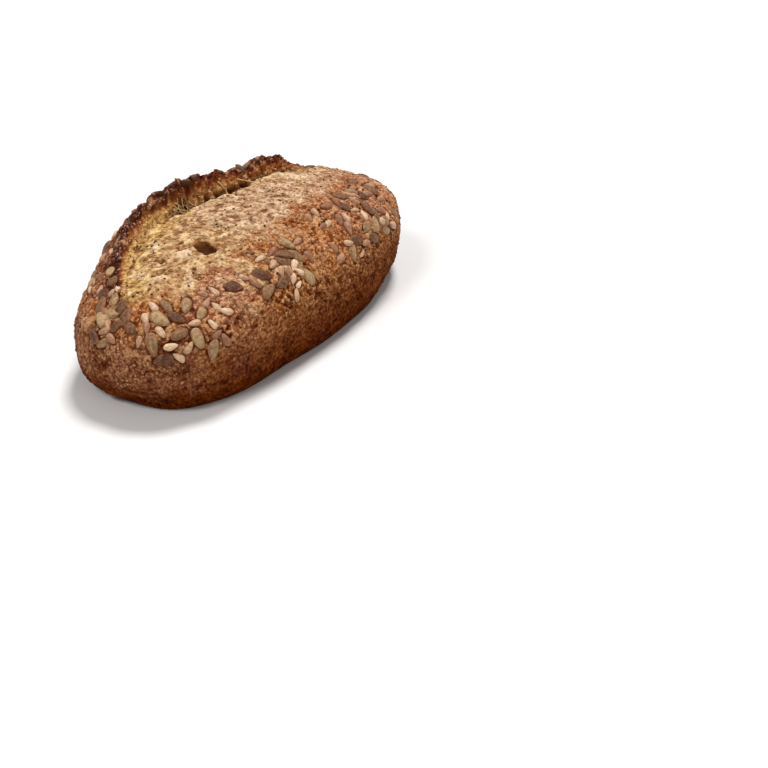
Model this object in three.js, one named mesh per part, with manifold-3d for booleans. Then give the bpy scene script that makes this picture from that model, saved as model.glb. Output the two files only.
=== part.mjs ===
// Seeded sourdough loaf: a long loaf with a flat foot, one long slash whose lifted flap
// stands over a wide bloom of torn crust, and seeds baked into the skin round it.
// Millimetres, +Z up, +X along the loaf, origin on the floor under its middle.
import * as THREE from 'three';
import { mergeVertices } from 'three/addons/utils/BufferGeometryUtils.js';
import Module from 'manifold-3d';

const wasm = await Module();
wasm.setup();

// Body of the loaf
const HALF_LENGTH = 147;
const FRONT_HALF_WIDTH = 67.5;
const BACK_HALF_WIDTH = 73.5;
const RIDGE_Y = -3;
const CROWN_HEIGHT = 83;
const WAIST_HEIGHT = 34.3;
const FOOT_REACH = 63.5;
const NEAR_FRONT_POWER = 2.77;
const NEAR_BACK_POWER = 2.4;
const FAR_POWER = 2.45;
const DOME_POWER = 2.47;
const FAR_END_TAPER = 0.01;
const LUMP_WAVES = [
  { height: 1.1, x: 23, y: 17, z: 21, phase: 0.6 },
  { height: 0.6, x: 11, y: 13, z: 12, phase: 2.2 },
];

// Slash along the crown and the bloom in front of it, measured from the ridge
const SLASH_CREST_X = -38;
const SLASH_SWEEP = 41;
const SLASH_NEAR_REACH = 84;
const SLASH_FAR_REACH = 200;
const SLASH_DRAW_Y = 37;
const SLASH_DRAW_REACH = 40;
const SLASH_DRAW_LIMIT = 18;
const CREVICE_DEPTH = 3;
const CREVICE_HALF_WIDTH = 7;
const BLOOM_MIDDLE_X = -5;
const BLOOM_HALF_LENGTH = 130;
const BLOOM_REACH = 38;
const BLOOM_NARROWING = 0.1;

// Flap that the slash lifts: a long hump and a short tip at its far end
const EAR_LIFT = 21.5;
const EAR_MIDDLE_X = -20;
const EAR_HALF_LENGTH = 118;
const EAR_RAG_FROM = 8;
const RAG_WAVES = [
  { height: 1.2, length: 3.1, phase: 0 },
  { height: 0.7, length: 1.9, phase: 2 },
];
const TIP_LIFT = 9.5;
const TIP_X = 75;
const TIP_HALF_LENGTH = 31;
const WALL_RUN = 7;
const WALL_POWER = 1.6;
const FLAP_RUN = 32;
const FLAP_POWER = 1.3;
const FLAP_ROOT = 0.35;

// Seeds: length, width and thickness of a kernel, how pointed it is and how deep it sits
const PUMPKIN = { length: 13.8, width: 8.2, thickness: 3.0, point: 0.18, spacing: 9.2 };
const SUNFLOWER = { length: 10, width: 5.2, thickness: 3.2, point: 0.34, spacing: 6.6 };
const SEED_SINK = 0.1;
const SEED_SIZE_SPREAD = 0.3;
const SEED_TILT = 0.18;
const SEED_ROUNDS = 40;
const END_SHARE = 0.99;
const SEED_DRAW = { start: 20417, factor: 1664525, step: 1013904223, range: 2 ** 32 };

// Where the skin holds seeds: middle along the loaf as a share of its half length, angle from
// the front over the crown to the back in degrees, how far the patch reaches, and its kernels
const SEED_PATCHES = [
  { along: -0.74, around: 42, reach: 0.17, turn: 36, pumpkin: 11, sunflower: 12 },
  { along: -0.22, around: 42, reach: 0.24, turn: 24, pumpkin: 7, sunflower: 9 },
  { along: 0.38, around: 44, reach: 0.32, turn: 32, pumpkin: 11, sunflower: 15 },
  { along: -0.8, around: 112, reach: 0.17, turn: 36, pumpkin: 12, sunflower: 13 },
  { along: 0, around: 127, reach: 0.45, turn: 7, pumpkin: 5, sunflower: 5 },
  { along: -0.25, around: 142, reach: 0.42, turn: 12, pumpkin: 7, sunflower: 8 },
  { along: -0.45, around: 158, reach: 0.32, turn: 15, pumpkin: 8, sunflower: 9 },
  { along: 0.32, around: 150, reach: 0.42, turn: 24, pumpkin: 11, sunflower: 13 },
  { along: 0.84, around: 85, reach: 0.1, turn: 60, pumpkin: 8, sunflower: 9 },
];

// Colour of the baked crust
const CRUST_FINISH = { color: 0x9a6238, roughness: 0.75, metalness: 0 };

// Facets
const LENGTH_SEGMENTS = 32;
const WIDTH_SEGMENTS = 20;
const HEIGHT_SEGMENTS = 9;
const NORMAL_STEP = 0.01;
const MERGE_DISTANCE = 1e-4;
const SEED_SIDES = 5;
const SEED_RINGS = 3;

/** Hump of height 1 at 0 that ends smoothly at -1 and 1. */
function bell(u) {
  const rest = Math.max(0, 1 - u * u);
  return rest * rest;
}

/** Smooth step from 0 at 0 to 1 at 1. */
function smoothStep(u) {
  const k = Math.min(1, Math.max(0, u));
  return k * k * (3 - 2 * k);
}

/** Distance of the slash from the ridge at a place along the loaf. */
function slashLine(x) {
  const reach = x < SLASH_CREST_X ? SLASH_NEAR_REACH : SLASH_FAR_REACH;
  const u = (x - SLASH_CREST_X) / reach;
  return SLASH_SWEEP * (1 - u * u);
}

/** Sideways move that draws the lines of the mesh on the crown along the slash. */
function slashDraw(x, y) {
  const move = Math.max(-SLASH_DRAW_LIMIT, slashLine(x) - SLASH_DRAW_Y);
  return move * bell((y - SLASH_DRAW_Y) / SLASH_DRAW_REACH);
}

/** Distance of the bloom's front edge from the ridge, 0 where the bloom has ended. */
function bloomEdge(x) {
  const u = (x - BLOOM_MIDDLE_X) / BLOOM_HALF_LENGTH;
  return -(BLOOM_REACH - BLOOM_NARROWING * x) * Math.max(0, 1 - u ** 4);
}

/** Height of the flap's ragged lip over the plain crown. */
function earLift(x) {
  const hump = EAR_LIFT * bell((x - EAR_MIDDLE_X) / EAR_HALF_LENGTH);
  const tip = TIP_LIFT * bell((x - TIP_X) / TIP_HALF_LENGTH);
  const lip = hump + tip;
  const rag = RAG_WAVES.reduce(
    (sum, wave) => sum + wave.height * Math.sin(x / wave.length + wave.phase),
    0,
  );
  return lip + rag * Math.min(1, lip / EAR_RAG_FROM);
}

/** Share of that height at a distance behind the slash: wall, lip, then the flap's back. */
function flapProfile(behind) {
  if (behind <= 0) {
    return 0;
  }
  if (behind <= WALL_RUN) {
    return (behind / WALL_RUN) ** WALL_POWER;
  }
  return 1 - Math.min(1, (behind - WALL_RUN) / FLAP_RUN) ** FLAP_POWER;
}

/** Broad unevenness of a hand shaped loaf. */
function lumps(x, y, z) {
  return LUMP_WAVES.reduce((sum, wave) => {
    const lengthwise = Math.sin(x / wave.x + wave.phase);
    const crosswise = Math.sin(y / wave.y + z / wave.z + wave.phase);
    return sum + wave.height * lengthwise * crosswise;
  }, 0);
}

/** How square the outline is, seen from above: the near front corner is the squarest. */
function planPower(n) {
  if (n.x >= 0) {
    return FAR_POWER;
  }
  return n.y < 0 ? NEAR_FRONT_POWER : NEAR_BACK_POWER;
}

/** Point of the crust in a direction of the unit sphere. */
function crustPoint(n) {
  const width = n.y < 0 ? FRONT_HALF_WIDTH : BACK_HALF_WIDTH;
  const depth = n.z < 0 ? FOOT_REACH : CROWN_HEIGHT - WAIST_HEIGHT;
  const power = planPower(n);
  const plan = (Math.abs(n.x) ** power + Math.abs(n.y) ** power) ** (DOME_POWER / power);
  const stretch = (plan + Math.abs(n.z) ** DOME_POWER) ** (-1 / DOME_POWER);
  const along = n.x * stretch;
  const taper = 1 - FAR_END_TAPER * along;
  const x = HALF_LENGTH * along;
  const flat = width * n.y * stretch;
  const crown = smoothStep(n.z / FLAP_ROOT);
  const share = (flat + crown * slashDraw(x, flat)) / width;
  const y = taper * width * share;
  const cover = (Math.abs(along) ** power + Math.abs(share) ** power) ** (DOME_POWER / power);
  const z = Math.sign(n.z) * taper * depth * Math.max(0, 1 - cover) ** (1 / DOME_POWER);
  const normal = new THREE.Vector3(n.x / HALF_LENGTH, n.y / width, n.z / depth).normalize();
  const lift = earLift(x);
  const behind = y - slashLine(x);
  const crevice = CREVICE_DEPTH * bell(behind / CREVICE_HALF_WIDTH) * Math.min(1, lift / TIP_LIFT);
  const rise = crown * (lift * flapProfile(behind) - crevice);
  const point = new THREE.Vector3(x, y + RIDGE_Y, z + WAIST_HEIGHT + rise);
  return point.addScaledVector(normal, lumps(x, y, z));
}

/** Place on the unit sphere of a point of a cube with corners at -1 and 1, evenly spread. */
function cubeToSphere(x, y, z) {
  const [a, b, c] = [x * x, y * y, z * z];
  return new THREE.Vector3(
    x * Math.sqrt(1 - b / 2 - c / 2 + (b * c) / 3),
    y * Math.sqrt(1 - c / 2 - a / 2 + (c * a) / 3),
    z * Math.sqrt(1 - a / 2 - b / 2 + (a * b) / 3),
  );
}

/** Direction on the unit sphere at a share along the loaf and an angle over its crown. */
function direction(along, around) {
  const across = Math.sqrt(1 - along * along);
  const turn = THREE.MathUtils.degToRad(around);
  return new THREE.Vector3(along, -across * Math.cos(turn), across * Math.sin(turn));
}

/** Outward normal of the crust in a direction, from two small steps along the surface. */
function crustNormal(n) {
  const side = new THREE.Vector3(-n.z, 0, n.x).normalize();
  const over = new THREE.Vector3().crossVectors(n, side);
  const here = crustPoint(n);
  const first = crustPoint(n.clone().addScaledVector(side, NORMAL_STEP).normalize()).sub(here);
  const second = crustPoint(n.clone().addScaledVector(over, NORMAL_STEP).normalize()).sub(here);
  return first.cross(second).normalize();
}

/** Whether a point of the crust lies in the bloom, on the wall or on the flap's lip. */
function inBloom(point) {
  const y = point.y - RIDGE_Y;
  const behind = y - slashLine(point.x);
  return y > bloomEdge(point.x) && behind < WALL_RUN && point.z > WAIST_HEIGHT;
}

/** Closed solid of a geometry that has positions only. */
function solid(geometry) {
  geometry.deleteAttribute('normal');
  geometry.deleteAttribute('uv');
  const merged = mergeVertices(geometry, MERGE_DISTANCE);
  return new wasm.Manifold(new wasm.Mesh({
    numProp: 3,
    vertProperties: new Float32Array(merged.attributes.position.array),
    triVerts: new Uint32Array(merged.index.array),
  }));
}

/** Body of the loaf: a subdivided box drawn out to the crust and trimmed flat at the floor. */
function loafBody() {
  const box = new THREE.BoxGeometry(2, 2, 2, LENGTH_SEGMENTS, WIDTH_SEGMENTS, HEIGHT_SEGMENTS);
  const places = box.attributes.position;
  for (let i = 0; i < places.count; i += 1) {
    const n = cubeToSphere(places.getX(i), places.getY(i), places.getZ(i));
    const point = crustPoint(n);
    places.setXYZ(i, point.x, point.y, point.z);
  }
  const under = new THREE.BoxGeometry(4 * HALF_LENGTH, 4 * HALF_LENGTH, FOOT_REACH);
  under.translate(0, 0, -FOOT_REACH / 2);
  return solid(box).subtract(solid(under));
}

/** Kernel lying along X with its broad face up, pointed toward +X. */
function kernel(kind, size) {
  const shape = new THREE.SphereGeometry(1, SEED_SIDES, SEED_RINGS);
  shape.rotateZ(-Math.PI / 2);
  const places = shape.attributes.position;
  for (let i = 0; i < places.count; i += 1) {
    const along = places.getX(i);
    const girth = 1 - kind.point * along;
    places.setXYZ(
      i,
      (along * kind.length * size) / 2,
      (places.getY(i) * girth * kind.width * size) / 2,
      (places.getZ(i) * girth * kind.thickness * size) / 2,
    );
  }
  return shape;
}

/** Repeatable draws from 0 to 1. */
function drawer() {
  let state = SEED_DRAW.start;
  return () => {
    state = (Math.imul(state, SEED_DRAW.factor) + SEED_DRAW.step) >>> 0;
    return state / SEED_DRAW.range;
  };
}

/** Seeds of every patch, pumpkin kernels first: kind, direction, point, turn, tilt and size. */
function scatterSeeds() {
  const draw = drawer();
  const seeds = [];
  for (const kind of [PUMPKIN, SUNFLOWER]) {
    for (const patch of SEED_PATCHES) {
      const wanted = kind === PUMPKIN ? patch.pumpkin : patch.sunflower;
      let placed = 0;
      for (let round = 0; round < SEED_ROUNDS * wanted && placed < wanted; round += 1) {
        const along = patch.along + patch.reach * (draw() + draw() - 1);
        const around = patch.around + patch.turn * (draw() + draw() - 1);
        const n = direction(THREE.MathUtils.clamp(along, -END_SHARE, END_SHARE), around);
        const point = crustPoint(n);
        const clear = seeds.every((other) => {
          const room = (other.kind.spacing + kind.spacing) / 2;
          return other.point.distanceTo(point) > room;
        });
        if (clear && !inBloom(point)) {
          const turn = draw() * 2 * Math.PI;
          const tilt = SEED_TILT * (2 * draw() - 1);
          const size = 1 + SEED_SIZE_SPREAD * (draw() - 0.5);
          seeds.push({ kind, n, point, turn, tilt, size });
          placed += 1;
        }
      }
    }
  }
  return seeds;
}

/** Solid of one seed, laid on the crust and sunk a little into it. */
function seedSolid(seed) {
  const shape = kernel(seed.kind, seed.size);
  shape.rotateX(seed.tilt);
  shape.rotateZ(seed.turn);
  const normal = crustNormal(seed.n);
  const lay = new THREE.Quaternion().setFromUnitVectors(new THREE.Vector3(0, 0, 1), normal);
  shape.applyQuaternion(lay);
  const seat = seed.point.clone().addScaledVector(normal, -SEED_SINK * seed.kind.thickness);
  shape.translate(seat.x, seat.y, seat.z);
  return solid(shape);
}

/** Geometry of a solid. */
function geometryOf(body) {
  const mesh = body.getMesh();
  const geometry = new THREE.BufferGeometry();
  geometry.setAttribute('position', new THREE.BufferAttribute(mesh.vertProperties, mesh.numProp));
  geometry.setIndex(new THREE.BufferAttribute(mesh.triVerts, 1));
  geometry.computeVertexNormals();
  return geometry;
}

/** The loaf with its seeds fused to the crust. */
function loafMesh() {
  let body = loafBody();
  for (const seed of scatterSeeds()) {
    body = body.add(seedSolid(seed));
  }
  const mesh = new THREE.Mesh(geometryOf(body), new THREE.MeshStandardMaterial(CRUST_FINISH));
  mesh.name = 'loaf';
  return mesh;
}

const part = new THREE.Group();
part.add(loafMesh());

export default part;
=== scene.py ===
"""Seeded sourdough loaf: a baked crust with its slash, flap and bloom, and the seeds in it.

Metres, +Z up, +X along the loaf, origin on the floor under its middle.
"""
import logging
import math
import random
from dataclasses import dataclass, field
from enum import Enum

import bmesh
import bpy
import numpy as np
from mathutils import Matrix, Quaternion, Vector, noise
from mathutils.kdtree import KDTree


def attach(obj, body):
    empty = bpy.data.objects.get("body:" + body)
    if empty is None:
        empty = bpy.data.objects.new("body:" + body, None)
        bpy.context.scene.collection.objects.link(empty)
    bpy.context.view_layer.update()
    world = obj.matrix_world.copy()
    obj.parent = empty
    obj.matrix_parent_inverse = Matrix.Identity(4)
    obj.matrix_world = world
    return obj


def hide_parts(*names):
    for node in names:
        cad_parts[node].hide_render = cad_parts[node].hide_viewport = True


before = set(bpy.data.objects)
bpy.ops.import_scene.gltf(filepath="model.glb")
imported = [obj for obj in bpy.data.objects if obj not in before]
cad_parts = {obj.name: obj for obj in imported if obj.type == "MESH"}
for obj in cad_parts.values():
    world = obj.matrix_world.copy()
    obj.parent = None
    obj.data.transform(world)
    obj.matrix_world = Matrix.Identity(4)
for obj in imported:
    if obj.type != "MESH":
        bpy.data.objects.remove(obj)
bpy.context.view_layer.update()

MM = 0.001
UP = Vector((0.0, 0.0, 1.0))
LOG = logging.getLogger("loaf")
Colour = tuple[int, int, int]
Pair = tuple[float, float]
Triple = tuple[float, float, float]
Stops = tuple[tuple[float, Colour], ...]
Values = np.ndarray | float
Socket = bpy.types.NodeSocket
Layer = bmesh.types.BMLayerItem

# Places of the colour sockets on a Mix node
MIX_FIRST_COLOUR = 6
MIX_SECOND_COLOUR = 7
MIX_COLOUR = 2

# Roughness of every soft cloudy pattern
CLOUD_ROUGHNESS = 0.6


def bell(u: Values) -> Values:
    """Hump of height 1 at 0 that ends smoothly at -1 and 1."""
    return np.maximum(0.0, 1.0 - u * u) ** 2


def smooth_step(u: Values) -> Values:
    """Smooth step from 0 at 0 to 1 at 1."""
    k = np.clip(u, 0.0, 1.0)
    return k * k * (3.0 - 2.0 * k)


def ripple(points: np.ndarray, size: Triple) -> np.ndarray:
    """Soft uneven field over points.

    Args:
        points: Places, one a row.
        size: How far one swell reaches along each axis.

    Returns:
        A value of about -1 to 1 for each place.
    """
    scaled = points / np.array(size)
    return np.fromiter((noise.noise(p) for p in scaled), float, len(points))


def clouds(points: np.ndarray, size: float, shift: float = 0.0) -> np.ndarray:
    """Soft uneven field with swells of one size, another field for each shift."""
    return ripple(points + shift, (size, size, size))


def cell_distance(points: np.ndarray, size: float) -> np.ndarray:
    """Distance to the middle of the nearest of many scattered cells.

    Args:
        points: Places, one a row.
        size: How far apart the cells are.

    Returns:
        The distance as a share of that size, for each place.
    """
    scaled = points / size
    return np.fromiter((noise.voronoi(p)[0][0] for p in scaled), float, len(points))


def laid(point: np.ndarray | Vector, normal: np.ndarray, turn: float) -> Matrix:
    """Transform that lays a thing on the crust.

    Args:
        point: Where it lies.
        normal: The crust's normal there.
        turn: How far it is turned on the crust.

    Returns:
        The transform from the thing's own frame.
    """
    lay = UP.rotation_difference(Vector(normal)).to_matrix().to_4x4()
    return Matrix.Translation(point) @ lay @ Matrix.Rotation(turn, 4, "Z")


@dataclass(frozen=True)
class Band:
    """A share that comes in over a run from a start, or goes out where the run is below 0."""

    start: float
    run: float

    def __call__(self, values: Values) -> Values:
        """Share of 0 to 1 at each value."""
        return smooth_step((values - self.start) / self.run)


@dataclass(frozen=True)
class Hump:
    """A share that is 1 at a middle and ends half a width away on both sides."""

    middle: float
    half: float

    def __call__(self, values: Values) -> Values:
        """Share of 0 to 1 at each value."""
        return bell((values - self.middle) / self.half)


@dataclass(frozen=True)
class Patches:
    """Soft patches of a size: how much they cover and how sharp they are."""

    size: float
    level: float
    contrast: float
    shift: float = 0.0

    def __call__(self, points: np.ndarray) -> np.ndarray:
        """Share of 0 to 1 at each place."""
        return smooth_step(self.level + self.contrast * clouds(points, self.size, self.shift))


@dataclass(frozen=True)
class Swells:
    """Soft swells of a size and a height, other ones for each shift."""

    size: float
    height: float
    shift: float = 0.0

    def __call__(self, points: np.ndarray) -> np.ndarray:
        """Height at each place."""
        return self.height * clouds(points, self.size, self.shift)


@dataclass(frozen=True)
class Ridges:
    """Winding ridges of a size along each axis, with hollows between them."""

    size: Triple
    height: float
    top: float = 0.24
    shift: float = 0.0

    def __call__(self, points: np.ndarray) -> np.ndarray:
        """Height at each place."""
        return self.height * (self.top - np.abs(ripple(points + self.shift, self.size)))


@dataclass(frozen=True)
class Beads:
    """Small scattered beads of a size and a height, with hollows between them."""

    size: float
    height: float

    def __call__(self, points: np.ndarray) -> np.ndarray:
        """Height at each place."""
        return self.height * (0.5 - cell_distance(points, self.size))


@dataclass(frozen=True)
class Pores:
    """Small scattered pores: how far apart, how wide and how soft at the rim."""

    size: float
    width: float
    rim: float
    shift: float = 0.0

    def __call__(self, points: np.ndarray) -> np.ndarray:
        """Share of 0 to 1 at each place, 1 in a pore."""
        return smooth_step((self.width - cell_distance(points + self.shift, self.size)) / self.rim)


@dataclass(frozen=True)
class LumpWave:
    """One wave of the loaf's broad unevenness."""

    height: float
    along: float
    across: float
    upward: float
    phase: float


@dataclass(frozen=True)
class RagWave:
    """One wave of the flap's ragged lip."""

    height: float
    length: float
    phase: float


@dataclass(frozen=True)
class LoafForm:
    """Form of the loaf: a long body with a flat foot, one slash and the flap it lifts."""

    half_length: float = 147 * MM
    front_half_width: float = 67.5 * MM
    back_half_width: float = 73.5 * MM
    ridge_y: float = -3 * MM
    crown_height: float = 83 * MM
    waist_height: float = 34.3 * MM
    foot_reach: float = 63.5 * MM
    near_front_power: float = 2.77
    near_back_power: float = 2.4
    far_power: float = 2.45
    dome_power: float = 2.47
    far_end_taper: float = 0.01
    lump_waves: tuple[LumpWave, ...] = (
        LumpWave(1.1 * MM, 23 * MM, 17 * MM, 21 * MM, 0.6),
        LumpWave(0.6 * MM, 11 * MM, 13 * MM, 12 * MM, 2.2),
    )
    slash_crest_x: float = -38 * MM
    slash_sweep: float = 41 * MM
    slash_near_reach: float = 84 * MM
    slash_far_reach: float = 200 * MM
    slash_draw_y: float = 37 * MM
    slash_draw_reach: float = 40 * MM
    slash_draw_limit: float = 18 * MM
    crevice_depth: float = 3 * MM
    crevice_half_width: float = 7 * MM
    bloom_middle_x: float = -5 * MM
    bloom_half_length: float = 130 * MM
    bloom_reach: float = 38 * MM
    bloom_narrowing: float = 0.1
    ear_lift: float = 21.5 * MM
    ear_middle_x: float = -20 * MM
    ear_half_length: float = 118 * MM
    ear_rag_from: float = 8 * MM
    rag_waves: tuple[RagWave, ...] = (
        RagWave(1.2 * MM, 3.1 * MM, 0.0),
        RagWave(0.7 * MM, 1.9 * MM, 2.0),
    )
    tip_lift: float = 9.5 * MM
    tip_x: float = 75 * MM
    tip_half_length: float = 31 * MM
    wall_run: float = 7 * MM
    wall_power: float = 1.6
    flap_run: float = 32 * MM
    flap_power: float = 1.3
    flap_root: float = 0.35
    normal_step: float = 0.01

    def slash_reach(self, x: Values) -> Values:
        """Reach of the slash's sweep on the side of its crest where a place lies."""
        return np.where(x < self.slash_crest_x, self.slash_near_reach, self.slash_far_reach)

    def slash_line(self, x: Values) -> Values:
        """Distance of the slash from the ridge, toward the flap, at places along the loaf."""
        return self.slash_sweep * (1.0 - ((x - self.slash_crest_x) / self.slash_reach(x)) ** 2)

    def slash_slope(self, x: Values) -> Values:
        """Slope of the slash's line at places along the loaf."""
        return -2.0 * self.slash_sweep * (x - self.slash_crest_x) / self.slash_reach(x) ** 2

    def behind_slash(self, x: Values, y: Values) -> Values:
        """Distance behind the slash of places on the crust, below 0 in front of it."""
        return y - self.ridge_y - self.slash_line(x)

    def slash_draw(self, x: np.ndarray, y: np.ndarray) -> np.ndarray:
        """Sideways move that draws the mesh's lines on the crown along the slash."""
        move = np.maximum(-self.slash_draw_limit, self.slash_line(x) - self.slash_draw_y)
        return move * bell((y - self.slash_draw_y) / self.slash_draw_reach)

    def bloom_edge(self, x: Values) -> Values:
        """Distance of the bloom's front edge from the ridge, 0 where the bloom has ended."""
        u = (x - self.bloom_middle_x) / self.bloom_half_length
        return -(self.bloom_reach - self.bloom_narrowing * x) * np.maximum(0.0, 1.0 - u**4)

    def ear_height(self, x: np.ndarray) -> np.ndarray:
        """Height of the flap's ragged lip over the plain crown.

        Args:
            x: Places along the loaf.

        Returns:
            The lip's height at each place.
        """
        hump = self.ear_lift * bell((x - self.ear_middle_x) / self.ear_half_length)
        tip = self.tip_lift * bell((x - self.tip_x) / self.tip_half_length)
        lip = hump + tip
        rag = sum(w.height * np.sin(x / w.length + w.phase) for w in self.rag_waves)
        return lip + rag * np.minimum(1.0, lip / self.ear_rag_from)

    def wall_climb(self, behind: np.ndarray) -> np.ndarray:
        """Share of the wall's height at distances behind the slash."""
        return np.clip(behind / self.wall_run, 0.0, 1.0) ** self.wall_power

    def flap_profile(self, behind: np.ndarray) -> np.ndarray:
        """Share of the lip's height behind the slash: wall, lip, then the flap's back."""
        fall = np.clip((behind - self.wall_run) / self.flap_run, 0.0, 1.0)
        return self.wall_climb(behind) - fall**self.flap_power

    def lumps(self, x: np.ndarray, y: np.ndarray, z: np.ndarray) -> np.ndarray:
        """Broad unevenness of a hand shaped loaf.

        Args:
            x: Places along the loaf.
            y: Distances from the ridge.
            z: Heights over the waist.

        Returns:
            How far each place stands proud of the plain form.
        """
        total = np.zeros_like(x)
        for w in self.lump_waves:
            crosswise = np.sin(y / w.across + z / w.upward + w.phase)
            total += w.height * np.sin(x / w.along + w.phase) * crosswise
        return total

    def plan_power(self, n: np.ndarray) -> np.ndarray:
        """How square the outline is, seen from above: most at the near front corner."""
        near = np.where(n[:, 1] < 0, self.near_front_power, self.near_back_power)
        return np.where(n[:, 0] >= 0, self.far_power, near)

    def crust_points(self, n: np.ndarray) -> np.ndarray:
        """Points of the crust in directions of the unit sphere.

        Args:
            n: Unit directions, one a row.

        Returns:
            The crust's point in each direction.
        """
        dome = self.dome_power
        width = np.where(n[:, 1] < 0, self.front_half_width, self.back_half_width)
        depth = np.where(n[:, 2] < 0, self.foot_reach, self.crown_height - self.waist_height)
        power = self.plan_power(n)
        plan = (np.abs(n[:, 0]) ** power + np.abs(n[:, 1]) ** power) ** (dome / power)
        stretch = (plan + np.abs(n[:, 2]) ** dome) ** (-1.0 / dome)
        along = n[:, 0] * stretch
        taper = 1.0 - self.far_end_taper * along
        x = self.half_length * along
        flat = width * n[:, 1] * stretch
        crown = smooth_step(n[:, 2] / self.flap_root)
        share = (flat + crown * self.slash_draw(x, flat)) / width
        y = taper * width * share
        cover = (np.abs(along) ** power + np.abs(share) ** power) ** (dome / power)
        z = np.sign(n[:, 2]) * taper * depth * np.maximum(0.0, 1.0 - cover) ** (1.0 / dome)
        normal = n / np.stack([np.full_like(x, self.half_length), width, depth], axis=1)
        normal /= np.linalg.norm(normal, axis=1, keepdims=True)
        lift = self.ear_height(x)
        behind = y - self.slash_line(x)
        sunk = bell(behind / self.crevice_half_width) * np.minimum(1.0, lift / self.tip_lift)
        rise = crown * (lift * self.flap_profile(behind) - self.crevice_depth * sunk)
        point = np.stack([x, y + self.ridge_y, z + self.waist_height + rise], axis=1)
        return point + normal * self.lumps(x, y, z)[:, None]

    def crust_normal(self, n: np.ndarray) -> np.ndarray:
        """Outward normal of the crust in one direction, from two small steps along it.

        Args:
            n: One unit direction.

        Returns:
            The unit normal there.
        """
        side = np.array([-n[2], 0.0, n[0]])
        side /= np.linalg.norm(side)
        over = np.cross(n, side)
        steps = np.stack([n, n + self.normal_step * side, n + self.normal_step * over])
        steps /= np.linalg.norm(steps, axis=1, keepdims=True)
        here, first, second = self.crust_points(steps)
        normal = np.cross(first - here, second - here)
        return normal / np.linalg.norm(normal)

    def in_bloom(self, point: np.ndarray) -> bool:
        """Whether a point of the crust lies in the bloom, on the wall or on the lip.

        Args:
            point: A point of the crust.

        Returns:
            True in the bloom, on the wall or on the lip.
        """
        x, y, z = point
        ahead = y - self.ridge_y > self.bloom_edge(x)
        behind = self.behind_slash(x, y) < self.wall_run
        return bool(ahead and behind and z > self.waist_height)


@dataclass(frozen=True)
class KernelForm:
    """Size of a kernel, how pointed it is and how much room it takes."""

    length: float
    width: float
    thickness: float
    point: float
    spacing: float


class SeedKind(Enum):
    """Kinds of large kernels baked into the crust."""

    PUMPKIN = KernelForm(13.8 * MM, 8.2 * MM, 3.0 * MM, 0.18, 9.2 * MM)
    SUNFLOWER = KernelForm(10 * MM, 5.2 * MM, 3.2 * MM, 0.34, 6.6 * MM)


@dataclass(frozen=True)
class SeedPatch:
    """A stretch of skin that holds seeds: its middle and reach, its kernels and their room."""

    along: float
    around: float
    reach: float
    turn: float
    pumpkin: int
    sunflower: int
    tilt: float = 0.18
    room: float = 1.0

    def count(self, kind: SeedKind) -> int:
        """Number of kernels of a kind that the patch holds."""
        return self.pumpkin if kind is SeedKind.PUMPKIN else self.sunflower


@dataclass(frozen=True)
class Seed:
    """One kernel as it lies on the crust."""

    kind: SeedKind
    point: np.ndarray
    normal: np.ndarray
    turn: float
    tilt: float
    size: float
    sink: float

    def placing(self) -> Matrix:
        """Transform from the kernel's own frame to its place, its broad face along the crust."""
        seat = Vector(self.point) - Vector(self.normal) * self.sink * self.kind.value.thickness
        return laid(seat, self.normal, self.turn) @ Matrix.Rotation(self.tilt, 4, "X")


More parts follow.
